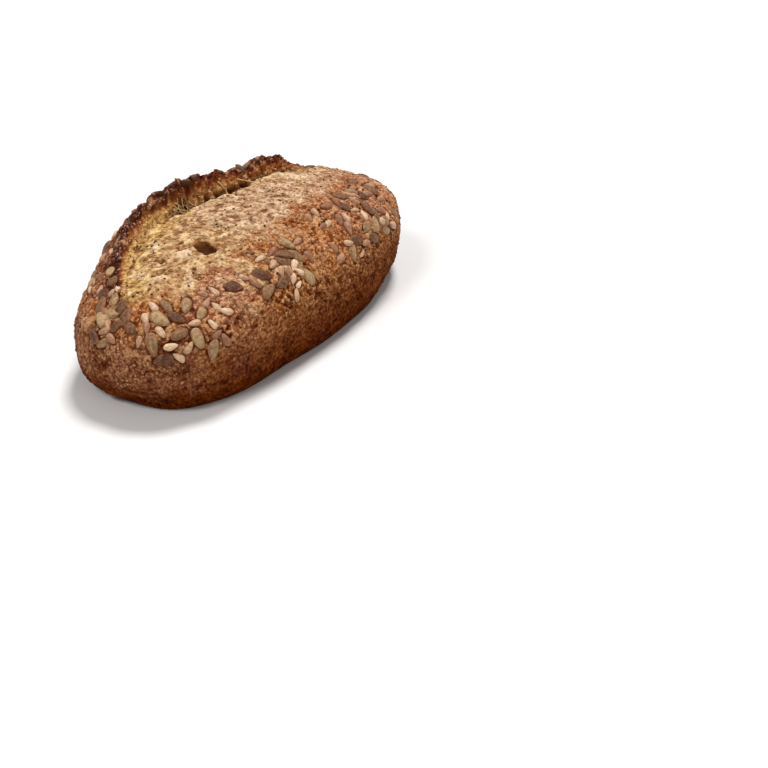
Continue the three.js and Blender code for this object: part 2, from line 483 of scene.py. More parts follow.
@dataclass
class SeedScatter:
    """Rule that lays the large kernels, patch by patch, the pumpkin kernels first."""

    form: LoafForm
    patches: tuple[SeedPatch, ...] = (
        SeedPatch(-0.74, 42, 0.17, 36, 11, 12),
        SeedPatch(-0.22, 42, 0.24, 24, 7, 9),
        SeedPatch(0.38, 44, 0.32, 32, 11, 15),
        SeedPatch(-0.8, 112, 0.17, 36, 12, 13),
        SeedPatch(0, 127, 0.45, 7, 5, 5),
        SeedPatch(-0.25, 142, 0.42, 12, 7, 8),
        SeedPatch(-0.45, 158, 0.32, 15, 8, 9),
        SeedPatch(0.32, 150, 0.42, 24, 11, 13),
        SeedPatch(0.84, 85, 0.1, 60, 8, 9),
    )
    loose_patches: tuple[SeedPatch, ...] = (
        SeedPatch(-0.85, 108, 0.13, 32, 3, 15, 0.5, 0.72),
        SeedPatch(-0.6, 46, 0.2, 26, 1, 5, 0.45, 0.75),
        SeedPatch(-0.2, 46, 0.22, 22, 1, 5, 0.45, 0.75),
        SeedPatch(0.42, 52, 0.3, 32, 6, 12, 0.5, 0.72),
        SeedPatch(0.1, 146, 0.6, 22, 4, 12, 0.5, 0.75),
    )
    sink: float = 0.1
    size_spread: float = 0.3
    rounds: int = 40
    end_share: float = 0.99
    state: int = 20417
    factor: int = 1664525
    step: int = 1013904223
    draw_range: int = 2**32

    def draw(self) -> float:
        """Next repeatable draw from 0 to 1."""
        self.state = (self.state * self.factor + self.step) % self.draw_range
        return self.state / self.draw_range

    def direction(self, along: float, around: float) -> np.ndarray:
        """Direction at a share along the loaf and an angle over its crown.

        Args:
            along: Share of the half length, -1 to 1.
            around: Angle in degrees from the front over the crown to the back.

        Returns:
            The unit direction.
        """
        along = min(self.end_share, max(-self.end_share, along))
        across = math.sqrt(1.0 - along * along)
        turn = math.radians(around)
        return np.array([along, -across * math.cos(turn), across * math.sin(turn)])

    def is_clear(self, kind: SeedKind, point: np.ndarray, seeds: list[Seed],
                 share: float) -> bool:
        """Whether a kernel of a kind has room at a point.

        Args:
            kind: The kernel's kind.
            point: The place to try.
            seeds: The kernels that already lie on the crust.
            share: How much of its usual room the kernel needs.

        Returns:
            True if no other kernel is too near.
        """
        for other in seeds:
            room = (other.kind.value.spacing + kind.value.spacing) / 2
            if np.linalg.norm(other.point - point) <= room * share:
                return False
        return True

    def lay(self) -> list[Seed]:
        """Lays every kernel: those of the solid, then the looser ones among them.

        Returns:
            The kernels in the order in which they were laid.
        """
        seeds: list[Seed] = []
        for patches in (self.patches, self.loose_patches):
            for kind in SeedKind:
                for patch in patches:
                    self.lay_patch(kind, patch, seeds)
        return seeds

    def lay_patch(self, kind: SeedKind, patch: SeedPatch, seeds: list[Seed]) -> None:
        """Lays one patch's kernels of one kind.

        Args:
            kind: The kernels' kind.
            patch: The patch of skin.
            seeds: The kernels laid so far, which grows.
        """
        wanted = patch.count(kind)
        placed = 0
        for _ in range(self.rounds * wanted):
            if placed == wanted:
                return
            along = patch.along + patch.reach * (self.draw() + self.draw() - 1.0)
            around = patch.around + patch.turn * (self.draw() + self.draw() - 1.0)
            n = self.direction(along, around)
            point = self.form.crust_points(n[None])[0]
            clear = self.is_clear(kind, point, seeds, patch.room)
            if not clear or self.form.in_bloom(point):
                continue
            turn = self.draw() * 2.0 * math.pi
            tilt = patch.tilt * (2.0 * self.draw() - 1.0)
            size = 1.0 + self.size_spread * (self.draw() - 0.5)
            normal = self.form.crust_normal(n)
            seeds.append(Seed(kind, point, normal, turn, tilt, size, self.sink))
            placed += 1


def linear(colour: Colour) -> list[float]:
    """A colour of 0 to 255 a channel, as a shader takes it, in linear light."""
    shares = [c / 255.0 for c in colour]
    return [s / 12.92 if s <= 0.04045 else ((s + 0.055) / 1.055) ** 2.4 for s in shares]


@dataclass(frozen=True)
class Rise:
    """A share that goes smoothly from 0 at one value to a top share at another."""

    low: float
    high: float
    top: float = 1.0


class FinishTree:
    """Node tree of one finish, built up in short steps."""

    def __init__(self, name: str) -> None:
        """Starts a finish with one shader.

        Args:
            name: The finish's name.
        """
        self.material = bpy.data.materials.new(name)
        self.material.use_nodes = True
        self.tree = self.material.node_tree
        self.tree.nodes.clear()
        self.shader = self.node("BsdfPrincipled")
        output = self.node("OutputMaterial")
        self.tree.links.new(self.shader.outputs["BSDF"], output.inputs["Surface"])
        self.place = self.node("TexCoord").outputs["Object"]
        self.values: dict[Enum, Socket] = {}

    def node(self, kind: str) -> bpy.types.Node:
        """A new node of a kind."""
        return self.tree.nodes.new("ShaderNode" + kind)

    def put(self, socket: Socket, value: Socket | float | Colour) -> None:
        """Feeds a socket from another socket, a number or a colour.

        Args:
            socket: The input to feed.
            value: What feeds it.
        """
        if isinstance(value, Socket):
            self.tree.links.new(value, socket)
        elif isinstance(value, tuple):
            socket.default_value = (*linear(value), 1.0)
        else:
            socket.default_value = value

    def feed(self, name: str, value: Socket | float | Colour) -> None:
        """Feeds an input of the shader by its name."""
        self.put(self.shader.inputs[name], value)

    def of(self, value: Enum) -> Socket:
        """A value that the mesh carries at its vertices.

        Args:
            value: Which of the mesh's values.

        Returns:
            The value.
        """
        if value not in self.values:
            node = self.node("Attribute")
            node.attribute_name = value.value
            self.values[value] = node.outputs["Fac"]
        return self.values[value]

    def mottle(self, size: float, detail: float = 5, place: Socket | None = None) -> Socket:
        """Soft cloudy pattern.

        Args:
            size: How large a cloud is.
            detail: How many finer layers it has.
            place: The coordinates, those of the object if there are no others.

        Returns:
            A value of about 0.3 to 0.7.
        """
        node = self.node("TexNoise")
        node.inputs["Scale"].default_value = 1.0 / size
        node.inputs["Detail"].default_value = detail
        node.inputs["Roughness"].default_value = CLOUD_ROUGHNESS
        self.put(node.inputs["Vector"], self.place if place is None else place)
        return node.outputs["Fac"]

    def cells(self, size: float) -> Socket:
        """Pattern of small scattered grains.

        Args:
            size: How far apart the grains are.

        Returns:
            The distance from the middle of the nearest grain.
        """
        node = self.node("TexVoronoi")
        node.inputs["Scale"].default_value = 1.0 / size
        self.put(node.inputs["Vector"], self.place)
        return node.outputs["Distance"]

    def stretched(self, stretch: Triple, turn: float) -> Socket:
        """Object coordinates turned round the upright axis and drawn out along the axes.

        Args:
            stretch: How much longer a pattern is along each axis.
            turn: How far it is turned.

        Returns:
            The coordinates.
        """
        turned = self.node("Mapping")
        turned.inputs["Rotation"].default_value = (0.0, 0.0, -turn)
        self.put(turned.inputs["Vector"], self.place)
        drawn = self.node("Mapping")
        drawn.inputs["Scale"].default_value = [1.0 / s for s in stretch]
        self.put(drawn.inputs["Vector"], turned.outputs["Vector"])
        return drawn.outputs["Vector"]

    def reckon(self, operation: str, *values: Socket | float) -> Socket:
        """Works out an operation of the Math node.

        Args:
            operation: The operation's name.
            values: What it works on.

        Returns:
            The result.
        """
        node = self.node("Math")
        node.operation = operation
        for socket, value in zip(node.inputs, values):
            self.put(socket, value)
        return node.outputs[0]

    def times(self, a: Socket, b: Socket | float) -> Socket:
        """Product of two values."""
        return self.reckon("MULTIPLY", a, b)

    def minus(self, a: Socket, b: Socket | float) -> Socket:
        """First value less the second."""
        return self.reckon("SUBTRACT", a, b)

    def most(self, a: Socket, b: Socket | float) -> Socket:
        """Larger of two values."""
        return self.reckon("MAXIMUM", a, b)

    def mean(self, a: Socket, b: Socket) -> Socket:
        """Mean of two values."""
        return self.times(self.reckon("ADD", a, b), 0.5)

    def varied(self, level: Socket, pattern: Socket, contrast: float) -> Socket:
        """A level that a pattern moves up and down."""
        return self.reckon("MULTIPLY_ADD", pattern, contrast, self.minus(level, contrast / 2))

    def ramp(self, value: Socket, stops: Stops) -> Socket:
        """Colour by a value.

        Args:
            value: The value.
            stops: Places on the ramp and their colours.

        Returns:
            The colour.
        """
        node = self.node("ValToRGB")
        elements = node.color_ramp.elements
        while len(elements) < len(stops):
            elements.new(0.5)
        for element, (place, colour) in zip(elements, stops):
            element.position = place
            element.color = (*linear(colour), 1.0)
        self.put(node.inputs["Fac"], value)
        return node.outputs["Color"]

    def rise(self, value: Socket, way: Rise) -> Socket:
        """Share that rises with a value.

        Args:
            value: The value.
            way: Where the share starts, where it ends and how high it goes.

        Returns:
            The share.
        """
        node = self.node("MapRange")
        node.interpolation_type = "SMOOTHSTEP"
        node.inputs["From Min"].default_value = way.low
        node.inputs["From Max"].default_value = way.high
        node.inputs["To Max"].default_value = way.top
        self.put(node.inputs["Value"], value)
        return node.outputs["Result"]

    def blend(self, share: Socket | float, a: Socket | Colour, b: Socket | Colour,
              way: str = "MIX") -> Socket:
        """Mixes two colours.

        Args:
            share: How much of the second colour shows.
            a: The first colour.
            b: The second colour.
            way: How they mix.

        Returns:
            The mixed colour.
        """
        node = self.node("Mix")
        node.data_type = "RGBA"
        node.blend_type = way
        self.put(node.inputs["Factor"], share)
        self.put(node.inputs[MIX_FIRST_COLOUR], a)
        self.put(node.inputs[MIX_SECOND_COLOUR], b)
        return node.outputs[MIX_COLOUR]

    def bump(self, height: Socket, distance: float) -> None:
        """Raises the surface's fine grain by a height.

        Args:
            height: The height as a share of the distance.
            distance: The height of a full grain.
        """
        node = self.node("Bump")
        node.inputs["Distance"].default_value = distance
        node.inputs["Strength"].default_value = 1.0
        self.put(node.inputs["Height"], height)
        self.feed("Normal", node.outputs["Normal"])


class Zone(Enum):
    """Zones of the crust that the mesh carries as values at its vertices."""

    BLOOM = "bloom"
    GOLD = "gold"
    WALL = "wall"
    CLIMB = "climb"
    LIP = "lip"
    # Baked dark at the foot, and painted shade low on the flanks and the front side
    TOAST_AND_SHADE = "toast"
    # Near end: own colour tinted by painted sheen; flap's outer side: its own red brown
    BLUSH_AND_SHEEN = "blush"
    ROSY = "rosy"
    PIT = "pit"
    SEAT = "seat"
    # Relief height, from which the finish paints shade in hollows and highlights on crests
    CREST = "crest"
    GRAIN = "grain"


@dataclass(frozen=True)
class CrustFinish:
    """Baked crust: brown grainy skin, pale torn bloom, golden wall and dark lip."""

    name: str = "baked_crust"
    skin: Stops = ((0.38, (104, 48, 18)), (0.5, (164, 96, 44)), (0.61, (218, 160, 104)))
    rosy: Stops = ((0.38, (104, 50, 36)), (0.5, (166, 106, 82)), (0.61, (222, 172, 138)))
    # Dark baked colour at the foot, also painted shade low on the flanks
    toasted_and_shaded: Stops = ((0.36, (56, 14, 0)), (0.5, (98, 38, 0)), (0.66, (146, 72, 8)))
    # Pinkish red brown: painted sheen on the near end's lower part, own colour on the flap's outer
    # side
    blush_and_painted_sheen: Stops = ((0.36, (82, 38, 24)), (0.5, (122, 72, 48)), (0.66, (172, 120, 88)))
    bloom: Stops = ((0.39, (130, 89, 61)), (0.5, (184, 148, 113)), (0.61, (223, 194, 161)))
    gold: Stops = ((0.39, (124, 86, 42)), (0.5, (184, 146, 90)), (0.61, (226, 193, 136)))
    # Darkest at the wall's foot, painted shade in the crevice under the flap; dark again at the
    # top, toward the lip
    far_wall: Stops = (
        (0.0, (44, 24, 12)),
        (0.12, (120, 78, 44)),
        (0.3, (188, 138, 84)),
        (0.5, (166, 98, 52)),
        (0.72, (126, 62, 38)),
        (1.0, (58, 26, 22)),
    )
    near_wall: Stops = (
        (0.0, (150, 104, 56)),
        (0.2, (208, 168, 106)),
        (0.48, (198, 152, 90)),
        (0.64, (164, 106, 58)),
        (0.78, (132, 72, 42)),
        (1.0, (70, 34, 26)),
    )
    lip: Stops = ((0.36, (34, 13, 12)), (0.5, (80, 37, 32)), (0.66, (144, 88, 74)))
    # Brown crumb of the pits, darker toward their middles as painted shade
    pit: Stops = ((0.2, (166, 110, 64)), (0.55, (118, 70, 34)), (0.95, (74, 40, 18)))
    # Pale colour of painted glints and painted highlights on the skin's crests, also the paler
    # tone of random grains
    skin_highlight_and_grain: Colour = (228, 178, 126)
    # Painted highlight on the bloom's crests, also the paler tone of its grains and strands
    bloom_highlight_and_grain: Colour = (236, 208, 176)
    # Painted shade in the gaps between small blisters
    skin_gap_shade: Colour = (78, 34, 10)
    # Painted shadow round and under each kernel
    seat: Colour = (68, 30, 10)
    # Painted shade in the bloom's thin cuts
    cut_shade: Colour = (124, 72, 40)
    # Painted shade in the hollows of the relief
    hollow: Colour = (184, 146, 124)
    fine_size: float = 2.2 * MM
    broad_size: float = 15 * MM
    bloom_size: float = 5 * MM
    grain_size: float = 1.9 * MM
    # Painted shade in the gaps between small blisters
    gap_shade_rise: Rise = Rise(0.5, 0.9, 0.35)
    # Painted glints: pale dots at the middles of small blisters, in patches
    dot_rise: Rise = Rise(0.4, 0.16, 0.7)
    dot_patch_size: float = 4.5 * MM
    dot_patch_rise: Rise = Rise(0.46, 0.58)
    glint_share: float = 0.6
    cut_size: float = 6 * MM
    cut_stretch: Triple = (1, 2.4, 2.4)
    cut_turn: float = math.radians(33)
    cut_rise: Rise = Rise(0.06, 0.012)
    cut_gate_size: float = 8 * MM
    cut_gate_rise: Rise = Rise(0.46, 0.56)
    cut_shade_share: float = 0.75
    wall_size: float = 5 * MM
    wall_stretch: Triple = (1, 1, 2)
    wall_contrast: float = 1.1
    pit_contrast: float = 0.7
    pit_rise: Rise = Rise(0.0, 0.5)
    # Painted shade in the hollows of the relief, less on the bloom and the wall
    hollow_shade_rise: Rise = Rise(0.5, 0.1)
    hollow_shade_fade: Rise = Rise(2.3, 0.0)
    # Painted shadow round and under each kernel
    seat_shadow_rise: Rise = Rise(0.12, 0.8, 0.85)
    # Painted highlight on the crests of the relief
    crest_highlight_rise: Rise = Rise(0.6, 1.0, 0.8)
    crest_highlight_share: float = 0.55
    roughness: float = 0.48
    matt_rise: float = 0.3
    specular: float = 0.03
    grain_height: float = 0.5
    grain_fade: Rise = Rise(1.8, 0.0)
    cut_depth: Rise = Rise(0.0, 1.0, 0.5)
    bump_height: float = 1.4 * MM

    def material(self) -> bpy.types.Material:
        """Builds the finish.

        Returns:
            The material.
        """
        tree = FinishTree(self.name)
        bloom = tree.of(Zone.BLOOM)
        grain = tree.cells(self.grain_size)
        fine = tree.mottle(self.fine_size)
        cuts = self.bloom_cuts(tree)
        colour = self.skin_colour(tree, grain, fine)
        colour = tree.blend(bloom, colour, self.bloom_colour(tree, fine, cuts))
        colour = self.flap_colour(tree, colour, fine)
        colour = self.sunk_colour(tree, colour, fine)
        tree.feed("Base Color", self.crest_colour(tree, colour))
        matt = tree.most(tree.most(bloom, tree.of(Zone.WALL)), tree.of(Zone.TOAST_AND_SHADE))
        tree.feed("Roughness", tree.reckon("MULTIPLY_ADD", matt, self.matt_rise, self.roughness))
        tree.feed("Specular IOR Level", self.specular)
        height = tree.minus(fine, tree.times(grain, self.grain_height))
        height = tree.times(height, tree.rise(bloom, self.grain_fade))
        sunk = tree.times(cuts, tree.rise(bloom, self.cut_depth))
        tree.bump(tree.minus(height, sunk), self.bump_height)
        return tree.material

    def bloom_cuts(self, tree: FinishTree) -> Socket:
        """Thin winding cuts across the bloom, which come and go.

        Args:
            tree: The finish's nodes.

        Returns:
            A share of 0 to 1 that is 1 in a cut.
        """
        drawn = tree.mottle(self.cut_size, 3, tree.stretched(self.cut_stretch, self.cut_turn))
        away = tree.reckon("ABSOLUTE", tree.minus(drawn, 0.5))
        gate = tree.rise(tree.mottle(self.cut_gate_size, 3), self.cut_gate_rise)
        return tree.times(tree.rise(away, self.cut_rise), gate)

    def skin_colour(self, tree: FinishTree, grain: Socket, fine: Socket) -> Socket:
        """Colour of the brown skin, darker low down with baking and painted shade, with painted
        shade between small blisters and painted glints in small pale dots.

        Args:
            tree: The finish's nodes.
            grain: Distance from the nearest small blister.
            fine: Fine mottling.

        Returns:
            The colour.
        """
        mixed = tree.mean(fine, tree.mean(fine, tree.mottle(self.broad_size)))
        skin = tree.ramp(mixed, self.skin)
        skin = tree.blend(tree.of(Zone.ROSY), skin, tree.ramp(mixed, self.rosy))
        # Pinkish red brown, partly painted sheen on the near end
        skin = tree.blend(tree.of(Zone.BLUSH_AND_SHEEN), skin, tree.ramp(mixed, self.blush_and_painted_sheen))
        # Darker low on the loaf: baked dark at the foot, painted shade on the low flanks
        skin = tree.blend(tree.of(Zone.TOAST_AND_SHADE), skin, tree.ramp(mixed, self.toasted_and_shaded))
        # Painted shade in the gaps between the small blisters
        skin = tree.blend(tree.rise(grain, self.gap_shade_rise), skin, self.skin_gap_shade)
        # Painted glints: pale dots at the middles of the small blisters, none low on the loaf
        dots = tree.most(tree.minus(tree.rise(grain, self.dot_rise), tree.of(Zone.TOAST_AND_SHADE)), 0.0)
        chosen = tree.rise(tree.mottle(self.dot_patch_size, 2), self.dot_patch_rise)
        lit = tree.blend(self.glint_share, skin, self.skin_highlight_and_grain)
        return tree.blend(tree.times(dots, chosen), skin, lit)

    def bloom_colour(self, tree: FinishTree, fine: Socket, cuts: Socket) -> Socket:
        """Colour of the pale bloom, golden toward the slash, with painted shade in its thin cuts.

        Args:
            tree: The finish's nodes.
            fine: Fine mottling.
            cuts: Share of the thin cuts.

        Returns:
            The colour.
        """
        mixed = tree.mean(tree.mottle(self.bloom_size), fine)
        pale, golden = tree.ramp(mixed, self.bloom), tree.ramp(mixed, self.gold)
        torn = tree.blend(tree.of(Zone.GOLD), pale, golden)
        # Painted shade in the thin cuts
        return tree.blend(tree.times(cuts, self.cut_shade_share), torn, self.cut_shade)

    def flap_colour(self, tree: FinishTree, skin: Socket, fine: Socket) -> Socket:
        """Colour of the flap's torn wall and of its dark lip over another colour.

        Args:
            tree: The finish's nodes.
            skin: The colour beside the wall.
            fine: Fine mottling.

        Returns:
            The colour.
        """
        clouded = tree.mottle(self.wall_size, place=tree.stretched(self.wall_stretch, 0.0))
        blotches = tree.varied(tree.of(Zone.CLIMB), clouded, self.wall_contrast)
        far, near = tree.ramp(blotches, self.far_wall), tree.ramp(blotches, self.near_wall)
        colour = tree.blend(tree.of(Zone.WALL), skin, tree.blend(tree.of(Zone.GOLD), far, near))
        return tree.blend(tree.of(Zone.LIP), colour, tree.ramp(fine, self.lip))

    def sunk_colour(self, tree: FinishTree, colour: Socket, fine: Socket) -> Socket:
        """Painted shade: darker colour in pits, over their brown crumb, in the hollows of the skin
        and round the kernels.

        Args:
            tree: The finish's nodes.
            colour: The colour of level crust.
            fine: Fine mottling.

        Returns:
            The colour.
        """
        # Pits: brown crumb, darker toward their middles as painted shade
        pit = tree.ramp(tree.varied(tree.of(Zone.PIT), fine, self.pit_contrast), self.pit)
        colour = tree.blend(tree.rise(tree.of(Zone.PIT), self.pit_rise), colour, pit)
        # Painted shade in the hollows of the relief, weaker on the wall and the bloom
        torn = tree.rise(tree.most(tree.of(Zone.WALL), tree.of(Zone.BLOOM)), self.hollow_shade_fade)
        hollow = tree.times(tree.rise(tree.of(Zone.CREST), self.hollow_shade_rise), torn)
        colour = tree.blend(hollow, colour, self.hollow, "MULTIPLY")
        # Painted shadow round and under each kernel
        return tree.blend(tree.rise(tree.of(Zone.SEAT), self.seat_shadow_rise), colour, self.seat)

    def crest_colour(self, tree: FinishTree, colour: Socket) -> Socket:
        """Painted highlight on crests and a paler random tone on grains, except where the crust is
        baked dark or painted in shade.

        Args:
            tree: The finish's nodes.
            colour: The colour of level crust.

        Returns:
            The colour.
        """
        # Painted highlight colour on crests, also the paler tone of random grains
        top = tree.blend(tree.of(Zone.BLOOM), self.skin_highlight_and_grain, self.bloom_highlight_and_grain)
        lit = tree.blend(self.crest_highlight_share, colour, top)
        pale = tree.most(tree.of(Zone.GRAIN), tree.rise(tree.of(Zone.CREST), self.crest_highlight_rise))
        pale = tree.minus(pale, tree.of(Zone.TOAST_AND_SHADE))
        return tree.blend(tree.rise(pale, Rise(0.0, 1.0)), colour, lit)


@dataclass
class SkinPlaces:
    """Vertices of the plain skin, measured from the loaf's ridge and from its slash."""

    form: LoafForm
    points: np.ndarray
    crown_run: float = 14 * MM
    x: np.ndarray = field(init=False)
    y: np.ndarray = field(init=False)
    z: np.ndarray = field(init=False)
    behind: np.ndarray = field(init=False)
    crown: np.ndarray = field(init=False)

    def __post_init__(self) -> None:
        """Measures every vertex."""
        self.x, across, self.z = self.points.T
        self.y = across - self.form.ridge_y
        self.behind = self.form.behind_slash(self.x, across)
        self.crown = Band(self.form.waist_height, self.crown_run)(self.z)


@dataclass
class Blister:
    """A burst blister in the bloom: a ragged hollow, deepest under one side."""

    skin: SkinPlaces
    x: float = -56 * MM
    y: float = -8.5 * MM
    half_length: float = 10.5 * MM
    half_width: float = 6.0 * MM
    depth: float = 7.5 * MM
    turn: float = math.radians(-108)
    rag: Swells = Swells(7 * MM, 0.35)
    mid_depth: float = 0.68
    depth_slope: float = 0.42
    floor_lumps: Swells = Swells(5 * MM, 2.4 * MM)
    share: np.ndarray = field(init=False)

    def __post_init__(self) -> None:
        """Works out the share of the depth at each vertex."""
        skin, cosine, sine = self.skin, math.cos(self.turn), math.sin(self.turn)
        dx, dy = skin.x - self.x, skin.y - self.y
        u = (dx * cosine + dy * sine) / self.half_length
        v = (dy * cosine - dx * sine) / self.half_width
        bowl = np.sqrt(np.maximum(0.0, 1.0 + self.rag(skin.points) - u * u - v * v))
        slant = np.clip(self.mid_depth + self.depth_slope * u, 0.0, 1.0)
        self.share = skin.crown * np.sqrt(bowl) * slant

    def depths(self) -> np.ndarray:
        """Depth of the hollow with its lumpy floor at each vertex."""
        return (self.depth - self.floor_lumps(self.skin.points)) * self.share


@dataclass
class CrustZones:
    """Where the crust is torn open, golden, toasted, pitted or hollowed under a kernel."""

    form: LoafForm
    skin: SkinPlaces
    seeds: list[Seed]
    blister: Blister
    broad_wobble: Swells = Swells(13 * MM, 1.0)
    small_wobble: Swells = Swells(5 * MM, 0.6)
    slash_near: Band = Band(-129 * MM, 8 * MM)
    slash_far: Band = Band(108 * MM, -10 * MM)
    bloom_front: Band = Band(-4 * MM, 24 * MM)
    bloom_wander: float = 14 * MM
    bloom_near: Band = Band(-133 * MM, 10 * MM)
    bloom_far: Band = Band(142 * MM, -18 * MM)
    bloom_back: Band = Band(1.5 * MM, -3 * MM)
    dust_share: float = 0.85
    dust_level: float = 0.55
    dust_contrast: float = 1.5
    dust_up: Band = Band(44 * MM, 24 * MM)
    dust_back: Band = Band(-1 * MM, -3 * MM)
    dust_near: Band = Band(-96 * MM, 30 * MM)
    dust_far: Band = Band(-45 * MM, 60 * MM)
    dust_far_loss: float = 0.85
    wall_front: Band = Band(-0.5 * MM, 2 * MM)
    wall_back: Band = Band(9.8 * MM, -3 * MM)
    lip_front: Band = Band(0.84, 0.2)
    lip_wander: float = 0.14
    lip_back: Band = Band(24 * MM, -13 * MM)
    near_half: Band = Band(-8 * MM, -40 * MM)
    gold_front: Band = Band(-24 * MM, 20 * MM)
    gold_close: float = 0.45
    front_side: Band = Band(-20 * MM, -30 * MM)
    near_end: Band = Band(-100 * MM, -28 * MM)
    # Darkening low on the loaf: baked dark at the foot, painted shade on the flanks, more on the
    # front side
    toast_and_shade_wander: float = 7 * MM
    toast_and_shade_low: Band = Band(60 * MM, -46 * MM)
    toast_and_shade_foot: Band = Band(30 * MM, -22 * MM)
    toast_and_shade_share: float = 0.9
    blush_and_sheen_share: float = 0.8
    blush_and_sheen_wander: float = 8 * MM
    blush_and_sheen_low: Band = Band(70 * MM, -24 * MM)
    blush_flap_share: float = 0.75
    blush_flap_front: Band = Band(7 * MM, 8 * MM)
    blush_flap_back: Band = Band(51 * MM, -24 * MM)
    rosy_along: Hump = Hump(-78 * MM, 38 * MM)
    rosy_across: Hump = Hump(-42 * MM, 30 * MM)
    rosy_patches: Patches = Patches(16 * MM, 0.0, 1.6, 6.0)
    rosy_least: float = 0.2
    rosy_more: float = 0.6
    rosy_near: Band = Band(10 * MM, -60 * MM)
    rosy_top: float = 0.55
    rosy_top_wander: float = 0.3
    rosy_far: Band = Band(10 * MM, 50 * MM)
    rosy_up: Band = Band(46 * MM, 22 * MM)
    hole_size: Triple = (7 * MM, 40 * MM, 40 * MM)
    hole_level: float = 0.2
    hole_contrast: float = 3.0
    hole_line: Hump = Hump(0.6 * MM, 3.0 * MM)
    hole_open: Hump = Hump(-57 * MM, 9 * MM)
    hole_shut: float = 0.85
    pocket_along: Hump = Hump(-15 * MM, 9 * MM)
    pocket_across: Hump = Hump(0.5 * MM, 5 * MM)
    pocket_share: float = 1.5
    blister_share: float = 2.1
    pore_share: float = 0.85
    pore_patches: Patches = Patches(14 * MM, 0.35, 2.0, 5.0)
    large_pores: Pores = Pores(7.5 * MM, 0.26, 0.1)
    small_pores: Pores = Pores(4.4 * MM, 0.3, 0.12, 2.0)
    small_pore_share: float = 2.8
    seat_reach: float = 0.8
    seat_rim: float = 1.14
    seat_rag: float = 0.36
    seat_rag_size: float = 4 * MM
    seat_run: float = 0.3
    seatless_front: Band = Band(-4 * MM, 3 * MM)
    seatless_back: Band = Band(10 * MM, -3 * MM)
    wobble: np.ndarray = field(init=False)
    slash: np.ndarray = field(init=False)
    near: np.ndarray = field(init=False)

    def __post_init__(self) -> None:
        """Measures what several zones share: their wander, the slash and the near half."""
        skin = self.skin
        self.wobble = self.broad_wobble(skin.points) + self.small_wobble(skin.points)
        self.slash = self.slash_near(skin.x) * self.slash_far(skin.x) * skin.crown
        self.near = self.near_half(skin.x)

    def masks(self) -> dict[Zone, np.ndarray]:
        """Every zone, with the crests and the grains still empty.

        Returns:
            A share of 0 to 1 at each vertex, for each zone.
        """
        behind = self.skin.behind
        open_crumb = self.open_crumb()
        return {
            Zone.BLOOM: np.maximum(open_crumb, self.dust_share * self.dusted()),
            Zone.GOLD: self.golden(),
            Zone.WALL: self.slash * self.wall_front(behind) * self.wall_back(behind),
            Zone.CLIMB: self.form.wall_climb(behind),
            Zone.LIP: self.lip(),
            Zone.TOAST_AND_SHADE: self.toasted_and_shaded(),
            Zone.BLUSH_AND_SHEEN: self.blush_and_painted_sheen(),
            Zone.ROSY: self.rosy(),
            Zone.PIT: self.pits(open_crumb),
            Zone.SEAT: self.seats(),
            Zone.CREST: np.zeros_like(behind),
            Zone.GRAIN: np.zeros_like(behind),
        }

    def open_crumb(self) -> np.ndarray:
        """Bloom in front of the slash, with a wandering front edge.

        Returns:
            The share at each vertex.
        """
        skin = self.skin
        ahead = skin.y - self.form.bloom_edge(skin.x) + self.bloom_wander * self.wobble
        ends = self.bloom_near(skin.x) * self.bloom_far(skin.x)
        return self.bloom_front(ahead) * ends * skin.crown * self.bloom_back(skin.behind)

    def dusted(self) -> np.ndarray:
        """Pale dust on the skin round the bloom, mostly toward the near end.

        Returns:
            The share at each vertex.
        """
        skin = self.skin
        dust = smooth_step(self.dust_level + self.dust_contrast * self.wobble)
        dust = dust * self.dust_up(skin.z) * self.dust_back(skin.behind) * self.dust_near(skin.x)
        return dust * (1.0 - self.dust_far_loss * self.dust_far(skin.x))

    def lip(self) -> np.ndarray:
        """Dark lip of the flap, with a wandering lower edge."""
        up = self.skin.behind / self.form.wall_run - self.lip_wander * self.wobble
        return self.slash * self.lip_front(up) * self.lip_back(self.skin.behind)

    def golden(self) -> np.ndarray:
        """Golden tone of the torn crumb: the near half, and close to the slash.

        Returns:
            The share at each vertex.
        """
        close = self.gold_front(self.skin.behind)
        gold = self.near * (0.5 + 0.5 * close) + self.gold_close * close**2
        return np.where(self.skin.behind > 0.0, self.near, np.clip(gold, 0.0, 1.0))

    def toasted_and_shaded(self) -> np.ndarray:
        """Darker colour low on the loaf: baked dark round the foot, and painted shade on the low
        flanks and up the front.

        Returns:
            The share at each vertex.
        """
        skin = self.skin
        height = skin.z - self.toast_and_shade_wander * self.wobble
        flank = self.toast_and_shade_share * self.toast_and_shade_low(height) * (0.5 + 0.5 * self.front_side(skin.y))
        spared = 1.0 - self.blush_and_sheen_share * self.near_end(skin.x)
        return np.maximum(self.toast_and_shade_foot(height), flank * spared)

    def blush_and_painted_sheen(self) -> np.ndarray:
        """Pinkish red brown low on the near end, its own colour tinted by painted sheen, and the
        red brown of the flap's outer side.

        Returns:
            The share at each vertex.
        """
        skin = self.skin
        low = self.blush_and_sheen_low(skin.z - self.blush_and_sheen_wander * self.wobble)
        end = self.blush_and_sheen_share * self.near_end(skin.x) * low
        outside = self.blush_flap_front(skin.behind) * self.blush_flap_back(skin.behind)
        return np.maximum(end, self.blush_flap_share * self.slash * outside)

    def rosy(self) -> np.ndarray:
        """Rosy patches of the skin: one on the near flank, small ones, and the far top.

        Returns:
            The share at each vertex.
        """
        skin = self.skin
        flank = self.rosy_along(skin.x) * self.rosy_across(skin.y)
        small = self.rosy_least + self.rosy_more * self.rosy_near(skin.x)
        small = self.rosy_patches(skin.points) * small
        top = self.rosy_far(skin.x) * self.rosy_up(skin.z)
        top = top * (self.rosy_top + self.rosy_top_wander * self.wobble)
        return np.max([flank, small, top], axis=0)

